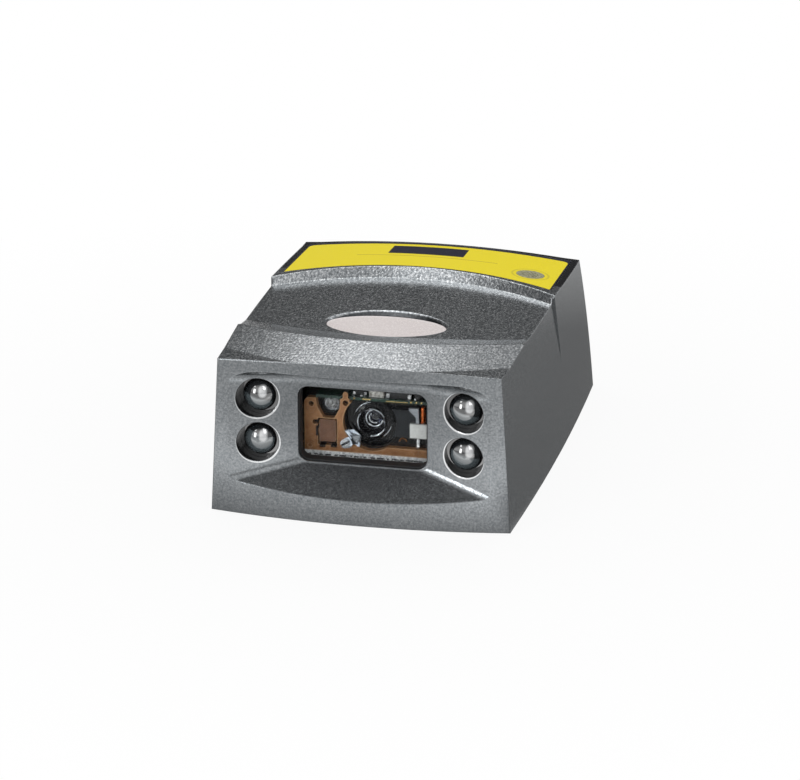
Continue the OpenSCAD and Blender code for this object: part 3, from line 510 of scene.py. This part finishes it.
class SCANNER_OT_housing(bpy.types.Operator):
    """Rounds and paints the cast housing"""

    bl_idname = "scanner.housing"
    bl_label = "Housing"

    def execute(self, context):
        values = settings().housing
        paint = grained("graphite paint", values.paint_dark, values.paint_light, metallic=0.85,
                        roughness=(0.1, 0.19), per_mm=2.1, drift_mm=0.05, depth_mm=0.014, drift_share=0.06,
                        edge_mm=values.edge / MM, squash=(1, 0.6, 1))
        self.flakes(paint)
        self.openings(paint)
        dress(paint, "top_housing")
        return {"FINISHED"}

    def flakes(self, paint):
        """Coarser flecks on the top faces only: the paint's flakes, with painted sparkle and shade where
        light falls; and the dark edge round the label
        """
        tree = paint.node_tree
        slope = axes(tree, put(tree, "ShaderNodeNewGeometry").outputs["Normal"])[2]
        place = axes(tree, place_of(tree))
        top = times(tree, spread(tree, slope, 0.3, 0.6, 0.0, 1.0),
                    spread(tree, place[2], 0.016, 0.02, 0.0, 1.0))
        fleck = grain(tree, 2.2, 0.1, (1, 0.5, 0.8))[0]
        # Painted sparkle: light flecks as painted highlights, dark flecks as painted shade, on the top faces
        # only
        light = times(tree, top, spread(tree, fleck, 0.52, 0.95, 0.0, 0.66))
        dark = times(tree, top, spread(tree, fleck, 0.48, 0.05, 0.0, 0.66))
        shade(paint, light, (0.66, 0.67, 0.68, 1))
        shade(paint, dark, (0.09, 0.1, 0.108, 1))
        edge = times(tree, spread(tree, slope, 0.86, 0.92, 0.0, 0.9),
                     spread(tree, place[1], deep(STEP_D + 1.5), deep(STEP_D + 2), 0.0, 1.0))
        shade(paint, edge, (0.014, 0.015, 0.02, 1))

    def openings(self, paint):
        """Painted shade in the wells, window opening, round the window and in the badge's dish; painted
        highlights on well rims
        """
        tree = paint.node_tree
        # Painted shade: the paint darkens towards the window, as if the recess round it lay in shade
        around = round_distance(tree, (0, 0, 22.5 * MM), weights=(0.62, 0, 1))
        shade(paint, spread(tree, around, 11.5 * MM, 17.5 * MM, 0.28, 0.0), (0.03, 0.035, 0.04, 1))
        depth = axes(tree, place_of(tree))[1]
        near = spread(tree, depth, deep(WELLS_END_D), deep(WELLS_END_D + 2), 1.0, 0.0)
        middle = LAMP_Z + LAMP_PITCH / 2
        well = round_distance(tree, (0, 0, middle), (LAMP_X, 0, LAMP_PITCH / 2), (1, 0, 1))
        # Painted shade: the walls inside the lamp wells are painted near black
        inside = times(tree, spread(tree, well, WELL_R + 0.03 * MM, WELL_R + 0.08 * MM, 1.0, 0.0), near)
        shade(paint, times(tree, inside, 0.82), (0.01, 0.011, 0.012, 1))
        # Painted highlight: a bright band on the lower side of each well's rim
        lower = round_distance(tree, (0, 0, middle - 0.2 * MM),
                               (LAMP_X - 0.13 * MM, 0, LAMP_PITCH / 2), (1, 0, 1))
        rim = times(tree, spread(tree, well, WELL_R + 0.08 * MM, WELL_R + 0.14 * MM, 0.0, 0.85),
                    spread(tree, lower, WELL_R + 0.2 * MM, WELL_R + 0.34 * MM, 1.0, 0.0), near)
        shade(paint, rim, (0.95, 0.96, 0.97, 1))
        # Painted shade: the walls of the window's opening are painted near black
        walls = spread(tree, depth, deep(WINDOW_WALL_D), deep(WINDOW_WALL_D + 1), 0.0, 0.92)
        walls = times(tree, walls, near)
        opening = field(tree, (0, 0, WINDOW_Z), WINDOW_HALF, WINDOW_CORNER, 0.2 * MM, 1)
        shade(paint, times(tree, opening, walls), (0.008, 0.009, 0.01, 1))
        # Painted shade: the badge's dish round the plate is painted near black
        dish = round_distance(tree, (0, deep(DISH_D), 0), weights=(2 / DISH_L, 2 / DISH_W, 0))
        shade(paint, spread(tree, dish, 0.93, 0.97, 0.9, 0.0), (0.012, 0.014, 0.016, 1))


class SCANNER_OT_base(bpy.types.Operator):
    """Finishes the base plate, its seal, screws and inserts"""

    bl_idname = "scanner.base"
    bl_label = "Base"

    def execute(self, context):
        coat = grained("cast base coat", linear((96, 97, 100)), linear((132, 133, 136)), metallic=0.7,
                       roughness=(0.42, 0.55), per_mm=2.0, depth_mm=0.02)
        dress(coat, "base_plate")
        rubber = grained("black rubber", (0.012, 0.012, 0.013, 1), (0.03, 0.03, 0.032, 1),
                         roughness=(0.55, 0.75), per_mm=4.0, depth_mm=0.01)
        dress(rubber, "base_seal", "inlet_grommet", "window_seal")
        oxide = brushed("black oxide", (0.03, 0.03, 0.032, 1), (0.09, 0.09, 0.095, 1), (900, 900, 5000),
                        (0.3, 0.45))
        dress(oxide, "cover_screws")
        brass = brushed("turned brass", linear((176, 140, 70)), linear((226, 196, 120)), (300, 300, 9000),
                        (0.18, 0.35))
        dress(brass, "fixing_inserts", "board_posts", "aiming_module")
        return {"FINISHED"}


class SCANNER_OT_lamps(bpy.types.Operator):
    """Finishes the domed lamp lenses and what lies behind them"""

    bl_idname = "scanner.lamps"
    bl_label = "Lamps"

    def execute(self, context):
        upper, lower = LAMP_Z + LAMP_PITCH, LAMP_Z
        # Each lens: its node name, x, z and the height in millimetres of the line below which it shows a
        # painted reflection
        lenses = (("lens_upper_left", -LAMP_X, upper, -0.3), ("lens_lower_left", -LAMP_X, lower, 1.6),
                  ("lens_upper_right", LAMP_X, upper, -0.5), ("lens_lower_right", LAMP_X, lower, 0.2))
        for name, x, z, split in lenses:
            dress(self.lens(name.replace("_", " "), x, z, split * MM), name)
        emitter = grained("emitter body", linear((60, 58, 50)), linear((110, 106, 90)), roughness=(0.3, 0.4),
                          per_mm=1.0)
        dress(emitter, "emitters_left", "emitters_right")
        return {"FINISHED"}

    def lens(self, name, x, z, split):
        """Smoky dome with a black rim, a painted reflection that lightens its lower part and a painted
        highlight at upper right
        """
        material, tree, shader = finish(name, (0.1, 0.11, 0.12, 1), 0.0, 0.06, coat=1.0,
                                        coat_roughness=0.03, transmission=0.06)
        shader.inputs["Coat IOR"].default_value = 2.7
        # Painted reflection: below a slanted line the dome is a lighter grey, above it near black
        slant = vector_node(tree, "DOT_PRODUCT", place_of(tree), (LENS_SLANT, 0, 1))
        level = z + LENS_SLANT * x + split
        lower = spread(tree, slant, level - 0.1 * MM, level + 0.25 * MM, 1.0, 0.0)
        body = blend_colour(tree, lower, (0.005, 0.007, 0.009, 1), (0.095, 0.115, 0.125, 1))
        # Painted highlight: a pale patch at the dome's upper right
        painted_glint = field(tree, (x + 1.15 * MM, 0, z + 1.3 * MM), (0.85 * MM, 0, 1.35 * MM), 0.85 * MM,
                      0.5 * MM, 1)
        body = blend_colour(tree, painted_glint, body, (0.7, 0.71, 0.72, 1))
        away = round_distance(tree, (x, 0, z), weights=(1, 0, 1))
        rim = spread(tree, away, 3.35 * MM, 3.55 * MM, 0.0, 1.0)
        join(tree, blend_colour(tree, rim, body, (0.006, 0.006, 0.007, 1)), shader.inputs["Base Color"])
        join(tree, spread(tree, grain(tree, 1.2, 0.2)[1], 0, 1, 0.04, 0.09), shader.inputs["Roughness"])
        return material


class SCANNER_OT_window(bpy.types.Operator):
    """Finishes the clear pane of the scan window"""

    bl_idname = "scanner.window"
    bl_label = "Window"

    def execute(self, context):
        dress(clear("window pane", (0.97, 0.98, 0.98, 1), 0.0, 1.45, straight=0.92), "scan_window")
        return {"FINISHED"}


class SCANNER_OT_label(bpy.types.Operator):
    """Prints the label and finishes the badge plate and the sound port"""

    bl_idname = "scanner.label"
    bl_label = "Label and badge"

    def execute(self, context):
        values = settings().label
        material, tree, shader = finish("label print", values.yellow, 0.0, 0.35, specular=0.15)
        fine = grain(tree, 5.0, 0.04)[0]
        ground = blend_colour(tree, fine, values.yellow, linear((242, 224, 48)))
        sheet = field(tree, (0, deep(LABEL_D), 0), LABEL_HALF, LABEL_CORNER, 0.12 * MM)
        arc = round_distance(tree, (0, deep(STEP_D - STEP_R / MM), 0))
        behind = spread(tree, arc, STEP_R + LABEL_BORDER, STEP_R + LABEL_BORDER + 0.1 * MM, 0.0, 1.0)
        ground = blend_colour(tree, times(tree, sheet, behind), values.navy, ground)
        bar = field(tree, (BAR_X, deep(BAR_D), 0), BAR_HALF, 0.2 * MM)
        ground = blend_colour(tree, bar, ground, values.navy)
        rule = times(tree, field(tree, (RULE_X, deep(RULE_D), 0), RULE_HALF), 0.75)
        ground = blend_colour(tree, rule, ground, linear((120, 80, 50)))
        port = round_distance(tree, (PORT_X, deep(PORT_D), 0))
        ring = times(tree, spread(tree, port, 4.0 * MM, 4.3 * MM, 0.0, 1.0),
                     spread(tree, port, 4.5 * MM, 4.8 * MM, 1.0, 0.0), 0.35)
        ground = blend_colour(tree, ring, ground, linear((150, 140, 60)))
        join(tree, ground, shader.inputs["Base Color"])
        join(tree, spread(tree, fine, 0, 1, 0.3, 0.42), shader.inputs["Roughness"])
        dress(material, "label_plate")
        pearl = grained("badge pearl", linear((228, 218, 216)), values.pearl, roughness=(0.2, 0.3),
                        per_mm=4.0, depth_mm=0.003, coat=0.6)
        dress(pearl, "badge_plate")
        mesh = brushed("port mesh", linear((112, 110, 84)), linear((186, 184, 152)), (2000, 2000, 2000),
                       (0.35, 0.5), 0.2)
        dress(mesh, "beeper_mesh")
        return {"FINISHED"}


class SCANNER_OT_engine(bpy.types.Operator):
    """Finishes the imaging engine that shows behind the window"""

    bl_idname = "scanner.engine"
    bl_label = "Imaging engine"

    def execute(self, context):
        values = settings().engine
        self.plate(values)
        gloss = grained("gloss black", (0.003, 0.003, 0.004, 1), (0.009, 0.009, 0.011, 1),
                        roughness=(0.03, 0.08), depth_mm=0.0, specular=0.3)
        dress(gloss, "lens_barrel", "lens_clamp")
        satin = grained("satin black", (0.003, 0.003, 0.004, 1), (0.008, 0.008, 0.009, 1),
                        roughness=(0.3, 0.45), depth_mm=0.004, specular=0.25)
        dress(satin, "engine_body")
        dress(clear("coated glass", (0.2, 0.22, 0.32, 1), 0.01, 1.7), "front_lens")
        # Painted reflections: the aiming lens goes from near black to near white in blotches
        glass = grained("aiming glass, painted glints", (0.004, 0.005, 0.006, 1), (0.8, 0.82, 0.84, 1), roughness=(0.05, 0.1),
                        per_mm=1.5, depth_mm=0.05, coat=1.0, drift_share=0.0)
        dress(glass, "aiming_lens")
        steel = brushed("bright steel", linear((176, 186, 200)), linear((240, 246, 255)), (900, 900, 300),
                        (0.04, 0.12))
        dress(steel, "beam_clip")
        nickel = brushed("nickel", linear((150, 152, 156)), linear((214, 216, 220)), (1500, 1500, 1500),
                         (0.18, 0.35))
        dress(nickel, "clip_screw", "engine_screws", "bracket_screws", "board_screws", "lamp_board_screws")
        self.slot(nickel)
        block = grained("dark block", linear((38, 40, 43)), linear((50, 52, 55)), roughness=(0.5, 0.6),
                        per_mm=2.0, depth_mm=0.004, specular=0.2)
        dress(block, "optics_block")
        bracket = brushed("grey bracket", linear((138, 142, 148)), linear((176, 180, 186)), (400, 400, 4000),
                          (0.3, 0.45), 0.6)
        dress(bracket, "side_bracket")
        pad = grained("white pad", linear((206, 206, 204)), linear((226, 226, 224)), roughness=(0.35, 0.45),
                      per_mm=2.0, depth_mm=0.002)
        dress(pad, "white_pad")
        copper = brushed("wound copper", linear((170, 66, 26)), linear((255, 150, 86)), (200, 200, 3500),
                         (0.15, 0.3))
        dress(copper, "flex_coil")
        self.strip()
        zinc = brushed("zinc sheet", linear((150, 153, 158)), linear((196, 199, 204)), (300, 4000, 300),
                       (0.3, 0.45))
        dress(zinc, "engine_bracket")
        self.details()
        return {"FINISHED"}

    def slot(self, nickel):
        """Painted shade in the slot of the screw that holds the clip"""
        tree = nickel.node_tree
        across = Vector((-0.5, 0, 0.866))
        place = vector_node(tree, "DOT_PRODUCT", place_of(tree), across)
        middle = across.dot(spot(*CLIP_SCREW))
        away = math_node(tree, "ABSOLUTE", math_node(tree, "SUBTRACT", place, middle))
        # Painted shade: a dark band across the screw's head, along its slot
        shade(nickel, spread(tree, away, 0.2 * MM, 0.26 * MM, 0.95, 0.0), (0.01, 0.01, 0.012, 1))

    def strip(self):
        """Foil strip with a broken dark line along it"""
        foil = grained("foil strip", linear((176, 176, 180)), linear((255, 255, 255)),
                       roughness=(0.25, 0.5), per_mm=2.2, depth_mm=0.06, drift_share=0.0)
        tree = foil.node_tree
        line = field(tree, (0, 0, STRIP_LINE_Z), STRIP_LINE_HALF, 0.0, 0.06 * MM, 1)
        dashes = spread(tree, grain(tree, 1.1, 0.1)[0], 0.55, 0.7, 1.0, 0.0)
        shade(foil, times(tree, line, dashes), (0.01, 0.01, 0.012, 1))
        dress(foil, "gasket_strip")

    def plate(self, values):
        """Front plate, lighter along its edges, with painted shade in the gaps round its square cover"""
        plate = grained("bronze coat", linear((134, 88, 54)), values.bronze, metallic=0.3,
                        roughness=(0.35, 0.5), per_mm=0.9, drift_mm=0.15, depth_mm=0.03, drift_share=0.45)
        tree = plate.node_tree
        shade(plate, times(tree, edge_mask(tree, 0.45, 0.7, 0.97), 0.8), linear((235, 195, 150)))
        # Painted shade: black painted on the plate where cut-outs round the cover lie in shade
        gaps = ((-12.1, 17.7, 0.35, 1.25), (-12.4, 19.9, 0.6, 0.5), (-10.9, 14.25, 0.7, 0.55),
                (-8.2, 14.35, 0.75, 0.5), (-9.6, 14.6, 0.9, 0.2))
        for x, z, half_x, half_z in gaps:
            gap = field(tree, spot(x, 0, z), (half_x * MM, 0, half_z * MM), 0.15 * MM, upright=1)
            shade(plate, times(tree, gap, 0.97), PAINTED_GAP_SHADE)
        dress(plate, "engine_plate")
        cover = grained("brown cover", linear((84, 56, 42)), linear((128, 90, 68)), metallic=0.2,
                        roughness=(0.35, 0.45), per_mm=0.7, drift_mm=0.2, depth_mm=0.01, drift_share=0.6)
        shade(cover, times(cover.node_tree, edge_mask(cover.node_tree, 0.2), 0.7), linear((190, 150, 112)))
        dress(cover, "aiming_cover")

    def details(self):
        """Lens rings and arcs as painted highlights, clip facets, pads, solder and small metal parts that the
        solids leave out
        """
        highlight = brushed("polished lens metal", linear((170, 176, 186)), linear((246, 250, 255)),
                           (600, 600, 600), (0.03, 0.08))
        camera_x, camera_z = CAMERA_LENS
        # Bright bead arcs on the camera lens, partly its real rings and partly painted highlights: radius,
        # thickness, depth, start and end angle
        arcs = ((1.98, 0.26, 15.1, 100, 350), (3.27, 0.16, 12.2, 25, 100), (3.27, 0.18, 12.2, 265, 335),
                (3.27, 0.12, 12.2, 140, 215), (4.38, 0.15, 13.75, 95, 160), (4.38, 0.15, 13.75, 300, 345),
                (1.25, 0.2, 15.35, 120, 300), (3.95, 0.24, 13.6, 285, 318))
        shape = bmesh.new()
        for radius, thick, d, start, end in arcs:
            bead(shape, spot(camera_x, d, camera_z), radius, thick, start, end)
        add_piece("lens_beads_and_highlights", shape, highlight)
        aiming_x, aiming_z = AIMING_LENS
        shape = bmesh.new()
        # Painted highlights: a bright ring and a short arc on the aiming lens
        bead(shape, spot(aiming_x, 15.3, aiming_z), 1.6, 0.14)
        bead(shape, spot(aiming_x, 15.1, aiming_z), 0.75, 0.12, 200, 330)
        add_piece("aiming_highlights", shape, highlight)
        facet = brushed("clip facets", linear((186, 196, 210)), linear((250, 252, 255)), (300, 300, 300),
                        (0.03, 0.08))
        add_piece("clip_facets", self.facets(), facet)
        pads = (((-1.5, 12.6, 26.0), (0.5, 12.8, 26.3)), ((4.1, 12.6, 25.95), (9.2, 12.8, 26.15)),
                ((9.7, 12.6, 26.0), (10.2, 12.8, 26.4)), ((11.0, 12.6, 26.0), (11.4, 12.8, 26.4)),
                ((12.2, 12.6, 26.0), (12.6, 12.8, 26.4)), ((-3.6, 12.6, 26.0), (-3.2, 12.8, 26.35)))
        gold = brushed("gold pads", linear((176, 142, 84)), linear((246, 222, 160)), (900, 900, 900),
                       (0.15, 0.3))
        add_blocks("board_pads", pads, gold)
        ends = (((4.0, 13.35, 26.55), (4.75, 16.0, 27.7)), ((9.05, 13.35, 26.55), (9.8, 16.0, 27.7)),
                ((-3.9, 13.75, 26.55), (-3.3, 16.6, 27.5)), ((-1.3, 13.75, 26.55), (-0.7, 16.6, 27.5)),
                ((-2.0, 13.0, 26.55), (-1.5, 13.5, 27.0)), ((10.6, 13.0, 26.55), (11.1, 13.6, 27.1)),
                ((11.2, 12.9, 15.2), (11.9, 14.1, 17.3)))
        tin = brushed("tinned ends", linear((150, 152, 156)), linear((250, 250, 250)), (1200, 1200, 1200),
                      (0.08, 0.25))
        add_blocks("tinned_ends", ends, tin)
        eyelet = brushed("copper eyelet", linear((120, 80, 50)), linear((210, 156, 110)), (900, 900, 900),
                         (0.2, 0.35))
        shape = bmesh.new()
        bead(shape, spot(7.8, 13.95, 15.95), 0.85, 0.2, 10, 175)
        add_piece("body_eyelet", shape, eyelet)

    def facets(self):
        """Folded front of the clip: seven facets that rise from its outline to two peaks"""
        shape = bmesh.new()
        outline = ((-5.35, 18.45), (-1.7, 17.45), (-1.85, 14.8), (-3.6, 15.05), (-4.45, 16.9))
        rim = [shape.verts.new(spot(x, 12.05, z)) for x, z in outline]
        back = [shape.verts.new(spot(x, 12.2, z)) for x, z in outline]
        upper, lower = shape.verts.new(spot(-3.7, 11.3, 17.25)), shape.verts.new(spot(-2.55, 11.35, 15.7))
        for face in ((rim[0], rim[1], upper), (rim[1], lower, upper), (rim[1], rim[2], lower),
                     (rim[2], rim[3], lower), (rim[3], upper, lower), (rim[3], rim[4], upper),
                     (rim[4], rim[0], upper)):
            shape.faces.new(face)
        for i, there in enumerate((1, 2, 3, 4, 0)):
            shape.faces.new((rim[i], rim[there], back[there], back[i]))
        shape.faces.new(back)
        return shape


class SCANNER_OT_boards(bpy.types.Operator):
    """Finishes the circuit boards and their parts"""

    bl_idname = "scanner.boards"
    bl_label = "Boards"

    def execute(self, context):
        values = settings().engine
        mask = grained("board mask", linear((10, 40, 30)), values.board, roughness=(0.25, 0.35), per_mm=1.5,
                       depth_mm=0.006, coat=0.3)
        dress(mask, "engine_board", "sensor_board", "main_board", "lamp_board_left", "lamp_board_right")
        mould = grained("chip mould", (0.012, 0.012, 0.013, 1), (0.035, 0.035, 0.037, 1),
                        roughness=(0.45, 0.6), per_mm=5.0, depth_mm=0.006)
        dress(mould, "board_diode", "engine_chips", "processor_chip", "memory_chips", "power_parts", "beeper")
        ceramic = grained("ceramic cap", linear((110, 104, 96)), linear((255, 252, 246)),
                          roughness=(0.3, 0.4), per_mm=1.6, depth_mm=0.03, drift_share=0.0)
        dress(ceramic, "board_capacitor")
        cover = grained("sensor cover", linear((40, 46, 70)), linear((70, 78, 110)), roughness=(0.04, 0.08),
                        per_mm=1.0, depth_mm=0.0, coat=1.0)
        dress(cover, "image_sensor")
        film = grained("amber film", linear((170, 100, 30)), linear((205, 134, 58)), roughness=(0.2, 0.3),
                       per_mm=1.0, depth_mm=0.002)
        dress(film, "engine_ribbon")
        socket = grained("connector mould", linear((206, 198, 176)), linear((228, 222, 204)),
                         roughness=(0.35, 0.5), per_mm=2.0, depth_mm=0.004)
        dress(socket, "ribbon_socket", "host_socket")
        return {"FINISHED"}


def soft_box(name, place, size, brightness):
    """Rectangular area lamp that shines at the part and looks as bright as the given value."""
    lamp = bpy.data.lights.new(name, "AREA")
    lamp.shape = "RECTANGLE"
    lamp.size, lamp.size_y = size
    lamp.energy = brightness * math.pi * size[0] * size[1]
    thing = bpy.data.objects.new(name, lamp)
    thing.location = place
    way = (AIM_POINT - thing.location).normalized()
    thing.rotation_euler = way.to_track_quat("-Z", "Y").to_euler()
    bpy.context.scene.collection.objects.link(thing)


class SCANNER_OT_studio(bpy.types.Operator):
    """Sets the camera, the floor, the world and the soft boxes"""

    bl_idname = "scanner.studio"
    bl_label = "Studio"

    def execute(self, context):
        values = settings().studio
        context.scene.view_settings.view_transform = "Standard"
        self.camera(context.scene)
        self.floor()
        self.sky(values)
        soft_box("right_box", (0.56, -1.04, 1.07), (0.5, 0.95), values.key)
        soft_box("left_box", (-0.83, -1.27, 0.34), (0.34, 0.62), values.key * 2.2)
        soft_box("left_spot", (-0.85, -0.94, 0.98), (0.28, 0.28), values.key * 1.2)
        soft_box("edge_box", (0.46, 1.3, 0.3), (0.3, 0.2), values.key * 0.6)
        soft_box("top_box", (0.0, 0.75, 1.35), (1.4, 1.0), values.top)
        return {"FINISHED"}

    def camera(self, scene):
        """Camera at the photograph's angle, distance and opening"""
        view = bpy.data.cameras.new("photo_view")
        view.sensor_fit = "HORIZONTAL"
        view.sensor_width = CAMERA_FILM
        view.lens = CAMERA_FOCAL
        view.clip_end = 20
        camera = bpy.data.objects.new("photo_view", view)
        turn = Matrix((CAMERA_RIGHT, CAMERA_UP, CAMERA_RIGHT.cross(CAMERA_UP))).transposed().to_4x4()
        camera.matrix_world = Matrix.Translation(CAMERA_PLACE) @ turn
        scene.collection.objects.link(camera)
        scene.camera = camera

    def floor(self):
        """White floor that keeps a soft shadow, and is clear when it is seen from below"""
        mesh = bpy.data.meshes.new("studio_floor")
        shape = bmesh.new()
        bmesh.ops.create_circle(shape, cap_ends=True, segments=96, radius=4.0)
        shape.to_mesh(mesh)
        shape.free()
        material, tree, shader = finish("studio floor", (0.82, 0.82, 0.82, 1), 0.0, 0.9, specular=0.1)
        light = put(tree, "ShaderNodeLightPath").outputs
        away = vector_node(tree, "LENGTH", place_of(tree))
        seen = times(tree, spread(tree, away, 0.08, 0.2, 0.9, 1.0), light["Is Camera Ray"])
        seen = math_node(tree, "MAXIMUM", seen, light["Is Glossy Ray"])
        glow = put(tree, "ShaderNodeEmission")
        glow.inputs["Color"].default_value = (1, 1, 1, 1)
        level = self.floor_in_gloss(tree)
        join(tree, spread(tree, light["Is Camera Ray"], 0, 1, level, 1.0), glow.inputs["Strength"])
        above = blend_shaders(tree, seen, shader.outputs[0], glow.outputs[0])
        below = put(tree, "ShaderNodeNewGeometry").outputs["Backfacing"]
        shown = blend_shaders(tree, below, above, put(tree, "ShaderNodeBsdfTransparent").outputs[0])
        join(tree, shown, tree.nodes["Material Output"].inputs["Surface"])
        mesh.materials.append(material)
        floor = bpy.data.objects.new("studio_floor", mesh)
        floor.location.z = CAD_BOX[0][2] - 0.05 * MM
        bpy.context.scene.collection.objects.link(floor)

    def floor_in_gloss(self, tree):
        """Brightness of the floor as gloss shows it: dim close to the front and to the right wall"""
        across, along, _ = axes(tree, place_of(tree))
        wall = times(tree, spread(tree, across, 0.034, 0.037, 1.0, 0.38),
                     spread(tree, across, 0.045, 0.08, 1.0, 1.25))
        wall = math_node(tree, "MAXIMUM", wall, spread(tree, along, -0.06, -0.09, 0.0, 1.0))
        return times(tree, spread(tree, along, -0.125, -0.095, 0.58, 0.8),
                     spread(tree, along, -0.095, -0.08, 1.0, 1.5),
                     spread(tree, along, -0.077, -0.068, 1.0, 0.62),
                     spread(tree, along, -0.066, -0.05, 1.0, 0.45),
                     spread(tree, across, 0.0, 0.03, 1.0, 1.28),
                     spread(tree, along, 0.1, 0.2, 1.0, 3.0), wall)

    def sky(self, values):
        """World that the camera sees white, matt surfaces as even light and gloss as a studio"""
        world = bpy.data.worlds.new("studio")
        bpy.context.scene.world = world
        world.use_nodes = True
        tree = world.node_tree
        ground = tree.nodes["Background"]
        ground.inputs["Color"].default_value = (1, 1, 1, 1)
        light = put(tree, "ShaderNodeLightPath").outputs
        gloss = self.sky_in_gloss(tree, values.band)
        white = math_node(tree, "ADD", light["Is Camera Ray"], light["Is Transmission Ray"], clamp=True)
        unseen = spread(tree, light["Is Glossy Ray"], 0, 1, values.ambient, gloss)
        join(tree, spread(tree, white, 0, 1, unseen, 1.0), ground.inputs["Strength"])

    def sky_in_gloss(self, tree, band):
        """Brightness of the band over the head, and of the dim part behind the camera"""
        across, along, height = axes(tree, put(tree, "ShaderNodeTexCoord").outputs["Generated"])
        turn = math_node(tree, "ARCTAN2", height, along)

        def by_turn(start, end, first, last):
            return spread(tree, turn, math.radians(start), math.radians(end), first, last)

        rise, fall = by_turn(23.5, 31, 0.0, 1.0), by_turn(99.5, 104, 1.0, 0.0)
        aside = math_node(tree, "ABSOLUTE", math_node(tree, "ADD", across, 0.23))
        sides = math_node(tree, "ADD", spread(tree, across, -0.16, 0.1, 0.0, 0.27),
                          spread(tree, across, -0.45, -0.36, -0.11, 0.0))
        middle = math_node(tree, "ADD", spread(tree, aside, 0.02, 0.13, 1.0, 0.14), sides)
        bright = spread(tree, times(tree, rise, fall, middle), 0.0, 1.0, 0.07, band)
        low = times(tree, by_turn(125, 145, 0.0, 1.0), spread(tree, across, 0.1, 0.5, 0.8, 0.25),
                    by_turn(169, 175, 1.0, 0.2))
        return math_node(tree, "ADD", bright, low)


PIECES = (SCANNER_OT_housing, SCANNER_OT_base, SCANNER_OT_lamps, SCANNER_OT_window, SCANNER_OT_label,
          SCANNER_OT_engine, SCANNER_OT_boards, SCANNER_OT_studio)


class ScannerHeadSettings(bpy.types.PropertyGroup):
    """All settings of the scanner head."""

    housing: PointerProperty(type=HousingSettings, name="Housing", description="Housing settings")
    label: PointerProperty(type=LabelSettings, name="Label", description="Label and badge settings")
    engine: PointerProperty(type=EngineSettings, name="Engine", description="Imaging engine settings")
    studio: PointerProperty(type=StudioSettings, name="Studio", description="Studio settings")


class SCANNER_PT_panel(bpy.types.Panel):
    """Sidebar panel that lists the settings and the steps"""

    bl_idname = "SCANNER_PT_panel"
    bl_label = "Scanner Head"
    bl_space_type = "VIEW_3D"
    bl_region_type = "UI"
    bl_category = "Scanner Head"

    def draw(self, context):
        values = context.scene.scanner_head
        for group in (values.housing, values.label, values.engine, values.studio):
            for name in group.__annotations__:
                self.layout.prop(group, name)
        for piece in PIECES:
            self.layout.operator(piece.bl_idname)


CLASSES = (HousingSettings, LabelSettings, EngineSettings, StudioSettings, ScannerHeadSettings,
           SCANNER_PT_panel) + PIECES


def register():
    for cls in CLASSES:
        bpy.utils.register_class(cls)
    bpy.types.Scene.scanner_head = PointerProperty(type=ScannerHeadSettings)


def unregister():
    del bpy.types.Scene.scanner_head
    for cls in reversed(CLASSES):
        bpy.utils.unregister_class(cls)


def main():
    """Runs the steps in order."""
    register()
    for step in (bpy.ops.scanner.studio, bpy.ops.scanner.housing, bpy.ops.scanner.base,
                 bpy.ops.scanner.lamps, bpy.ops.scanner.window, bpy.ops.scanner.label,
                 bpy.ops.scanner.engine, bpy.ops.scanner.boards):
        step()


if __name__ == "__main__":
    main()
